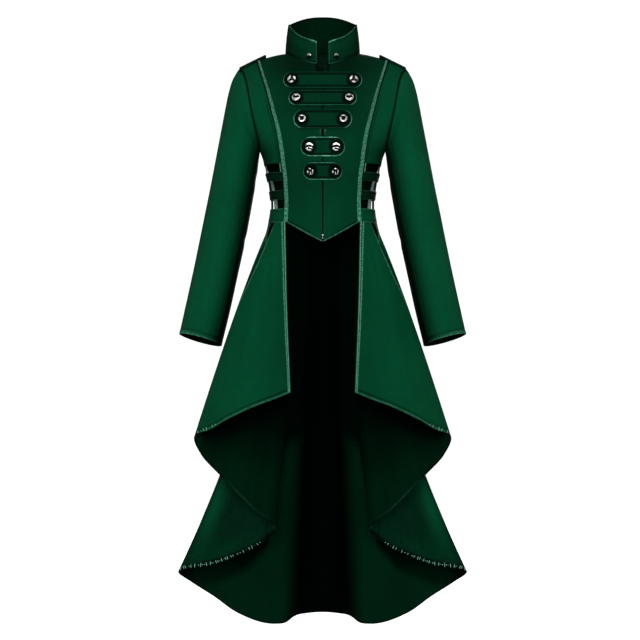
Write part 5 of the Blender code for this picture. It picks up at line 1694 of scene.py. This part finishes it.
for node, (start, end, columns, rows, carriers) in SKIRT_PANELS.items():
    first = rib_place_of[start] + (GORE_GAP if start != "front_edge" else 0.0)
    last = rib_place_of[end] - GORE_GAP
    place, fall = np.meshgrid(np.linspace(first, last, columns), np.linspace(0, 1, rows))
    points, out = skirt(place, fall), skirt_out(place, fall)
    if end == "centre_back":
        points[:, -1, 0] = CENTRE_GAP
        out[:, -1, 0] = 0.0
    along, fallen = grid_arcs(points)
    to_hem = fallen[-1:] - fallen
    to_seam = along[:, -1:] - along if start == "front_edge" else np.minimum(along, along[:, -1:] - along)
    lowered = SEAM_DIP * fading(to_seam, 0.0018) + 0.0006 * fading(to_hem - HEM_DEPTH, 0.0016)
    outer = points - out * (lowered + creased(points, skirt, SKIRT_CREASES[node], 26))[..., None]
    metres_per_place = along[:, -1:] / (place[:, -1:] - place[:, :1])
    pale, dark = skirt_marks(place, fall, metres_per_place)
    # The skirt is painted a little darker all over and more near the front edge. The plain front hem gets a
    # painted highlight at its edge and painted shade in the groove above it, and the hem edge of the side and
    # back is painted darker
    dark = dark + 0.07 + 0.20 * fading(place - 0.020, 0.045) * smooth_step((fall - 0.15) / 0.3)
    plain_hem = smooth_step((0.215 - place) / 0.030)
    pale = pale + 0.50 * plain_hem * fading(to_hem - 0.0014, 0.0016)
    dark = dark + 0.12 * fading(to_seam, 0.0010) + 0.60 * fading(to_hem - HEM_DEPTH + 0.0030, 0.0018)
    whipped_hem = fading(place - 0.585, 0.090) ** 0.5
    thread_marks = 0.6 + 0.4 * np.sin(place * 900 + 2 * np.sin(place * 410))
    pale = pale + 0.34 * whipped_hem * fading(to_hem - 0.0036, 0.0026) * thread_marks
    dark = dark + 0.95 * (1 - plain_hem) * (1 - 0.7 * whipped_hem) * smooth_step((0.0075 - to_hem) / 0.0030)
    hem_line, hem_out = level_line(outer, out, to_hem, HEM_DEPTH)
    stitched_both(f"{node}_stitches", [stitch_row(hem_line, hem_out, *HEM_STITCH)], thread_green)
    if node in WHIPPED:
        whip_line, whip_out = level_line(outer, out, to_hem, WHIP_PLACE)
        whip_rows = []
        for name, first_place, last_place, pitch, length, turned in WHIPPED[node]:
            part = (place[-1] > first_place) & (place[-1] < last_place)
            whip_rows.append(
                stitch_row(whip_line[part], whip_out[part], pitch, length, WHIP_WIDTH, turned, 0.75)
            )
        stitched_both(f"{node}_{name}_hem", whip_rows, thread_pale)
    inner_pale, inner_dark = lining_marks(place, fall, to_hem)
    both_sides(
        node, outer, outer - out * CLOTH, CLOTH_AND_LINING, pale=pale, dark=dark,
        inner_pale=inner_pale, inner_dark=inner_dark, rests_on=carriers,
    )

# ------------------------------------------------------------
# Bands down the skirt's front edges
#
# The puckered strip goes on below the waist as a doubled binding: a broad ribbed strip, a dark groove, and
# a plain rounded edge. It narrows to the hem.
# ------------------------------------------------------------

SKIRT_BAND_TOP = 0.0105
SKIRT_BAND_HEM = 0.0060
SKIRT_PUCKER_LENGTH = 0.0052
SKIRT_BAND_ROWS = 360
GROOVE_DEPTH = 0.0009
RIB_STITCH = (0.0042, 0.0028, 0.0013, 0.25, 0.35)
ROUNDED_EDGE_STITCH = (0.0036, 0.0030, 0.0009, 0.0, 0.15)

fall = np.linspace(0, 1, SKIRT_BAND_ROWS)
band_width = SKIRT_BAND_TOP + (SKIRT_BAND_HEM - SKIRT_BAND_TOP) * fall
per_metre = 0.02 / np.linalg.norm(skirt(0.02 + 0 * fall, fall) - skirt(0 * fall, fall), axis=-1)
place = between(0.0004 + 0 * fall, band_width * per_metre, BAND_COLUMNS)
fall = fall[:, None] + 0 * place
points, out = skirt(place, fall), skirt_out(place, fall)
outer, inner, pale, dark = band_sheets(points, out, TRIM_GAP, BAND_THICKNESS, SKIRT_PUCKER_LENGTH)
across = np.linspace(0, 1, BAND_COLUMNS)[None, :]
groove = fading(across - 0.40, 0.13)
outer = outer - out * (GROOVE_DEPTH * groove)[..., None]
# Painted highlight along the rounded edge, painted shade in the groove
pale = pale + 0.55 * fading(across - 0.12, 0.12)
dark = dark * smooth_step((across - 0.35) / 0.1) + 1.1 * groove
both_sides(
    "skirt_band", outer, inner, TRIM_AND_LINING, slot="trim", held="laid", rests_on=("skirt_front",),
    pale=pale, dark=dark,
)
stitched_both("skirt_band_stitches", [
    stitch_row(outer[:, 9], out[:, 9], *RIB_STITCH),
    stitch_row(outer[:, 2], out[:, 2], *ROUNDED_EDGE_STITCH),
], thread_pale)

# ------------------------------------------------------------
# End of the front zip
#
# The closed zip ends just above the point in a small silvered stop of two rounded lugs on a plate.
# ------------------------------------------------------------

ZIP_END = {"width": 0.0055, "height": 0.0130, "thickness": 0.0022, "top": -0.3920}
ZIP_COLUMNS, ZIP_ROWS = 18, 30

across, down = np.meshgrid(np.linspace(-1, 1, ZIP_COLUMNS), np.linspace(0, 1, ZIP_ROWS))
x, height = across * ZIP_END["width"] / 2, ZIP_END["top"] - down * ZIP_END["height"]
points, out = mirrored_torso(x, height)
lugs = fading(np.hypot(across * 0.21, down - 0.40), 0.14) + fading(np.hypot(across * 0.21, down - 0.88), 0.10)
rise = ZIP_END["thickness"] * (0.35 + 0.65 * np.clip(lugs, 0, 1))
# The plate is painted near black round the bright lugs
settle(shell(
    "zip_end_metal", points + out * (TRIM_GAP + rise)[..., None], points + out * TRIM_GAP,
    (metal_silver, metal_silver), dark=1 - np.clip(lugs * 1.8, 0, 1),
), "zip_end")

# ------------------------------------------------------------
# Floor, backdrop, lights and camera
#
# A pale floor and an even white world stand in for a photographer's paper sweep, under four square soft
# lamps. The camera stands level in front, as far off as the photograph's perspective asks.
# ------------------------------------------------------------

FLOOR_HEIGHT = -1.46
FLOOR_REACH = 9
FLOOR_GREY, FLOOR_GLOW = (0.80, 0.80, 0.80), 0.85
WHITE = (1.0, 1.0, 1.0, 1.0)
CAMERA_PLACE = (-0.006, -6.0, -0.585)
CAMERA_AIM = (-0.006, 0.0, -0.585)
CAMERA_LENS, CAMERA_SENSOR, CAMERA_SIGHT = 150.0, 36.0, 60.0
WORLD_LIGHT, WORLD_SEEN = 0.16, 1.10


def stage_sheet(name, corners, colour, glow):
    """A large flat sheet with its own even glow added to what the lamps give it."""
    finish, tree, shader = start_finish(name)
    seen = add(tree, "LightPath").outputs["Is Camera Ray"]
    fill(tree, shader, {
        "Base Color": (*colour, 1.0),
        "Roughness": 0.9,
        "Emission Color": WHITE,
        "Emission Strength": maths(tree, "MULTIPLY", seen, glow),
    })
    solid_mesh(name, np.array(corners, float), np.array([[0, 1, 2, 3]]), (finish,))


corners = [
    (FLOOR_REACH * x, FLOOR_REACH * y, FLOOR_HEIGHT) for x, y in ((-1, -1), (1, -1), (1, 1), (-1, 1))
]
stage_sheet("floor", corners, FLOOR_GREY, FLOOR_GLOW)

world = bpy.data.worlds.new("studio")
bpy.context.scene.world = world
world.use_nodes = True
tree = world.node_tree
for stale in list(tree.nodes):
    tree.nodes.remove(stale)
seen = add(tree, "LightPath").outputs["Is Camera Ray"]
dim = add(tree, "Background", {"Color": WHITE, "Strength": WORLD_LIGHT})
bright = add(tree, "Background", {"Color": WHITE, "Strength": WORLD_SEEN})
blend = add(tree, "MixShader", {0: seen, 1: dim.outputs[0], 2: bright.outputs[0]})
add(tree, "OutputWorld", {0: blend.outputs[0]})

LAMPS = (
    ("key", (-1.1, -6.4, 0.9), 2.4, 190.0),
    ("fill", (1.5, -6.4, -0.5), 2.4, 110.0),
    ("top", (0.0, -1.8, 3.2), 2.4, 34.0),
    ("back", (0.8, 5.2, 1.0), 2.6, 120.0),
)
AIM = np.array([0.0, 0.0, -0.60])


def look_rotation(place, target):
    """Turns a thing that looks down its own -Z so that it looks from place to target, its top up."""
    back = np.asarray(place, float) - target
    back = back / np.linalg.norm(back)
    side = np.cross((0.0, 0.0, 1.0), back)
    side = side / np.linalg.norm(side)
    return np.stack([side, np.cross(back, side), back], axis=1)


def placed(name, data, place, target):
    """Puts a lamp or camera at a place, looking at its target."""
    thing = bpy.data.objects.new(name, data)
    turned = np.eye(4)
    turned[:3, :3] = look_rotation(place, target)
    turned[:3, 3] = place
    thing.matrix_world = Matrix(turned.tolist())
    bpy.context.scene.collection.objects.link(thing)
    return thing


for name, place, size, power in LAMPS:
    lamp = bpy.data.lights.new(name, "AREA")
    lamp.shape = "SQUARE"
    lamp.size = size
    lamp.energy = power
    placed(name, lamp, place, AIM)

camera = bpy.data.cameras.new("camera")
camera.sensor_width = CAMERA_SENSOR
camera.lens = CAMERA_LENS
camera.clip_end = CAMERA_SIGHT
bpy.context.scene.camera = placed("camera", camera, CAMERA_PLACE, CAMERA_AIM)
bpy.context.scene.view_settings.view_transform = "Standard"
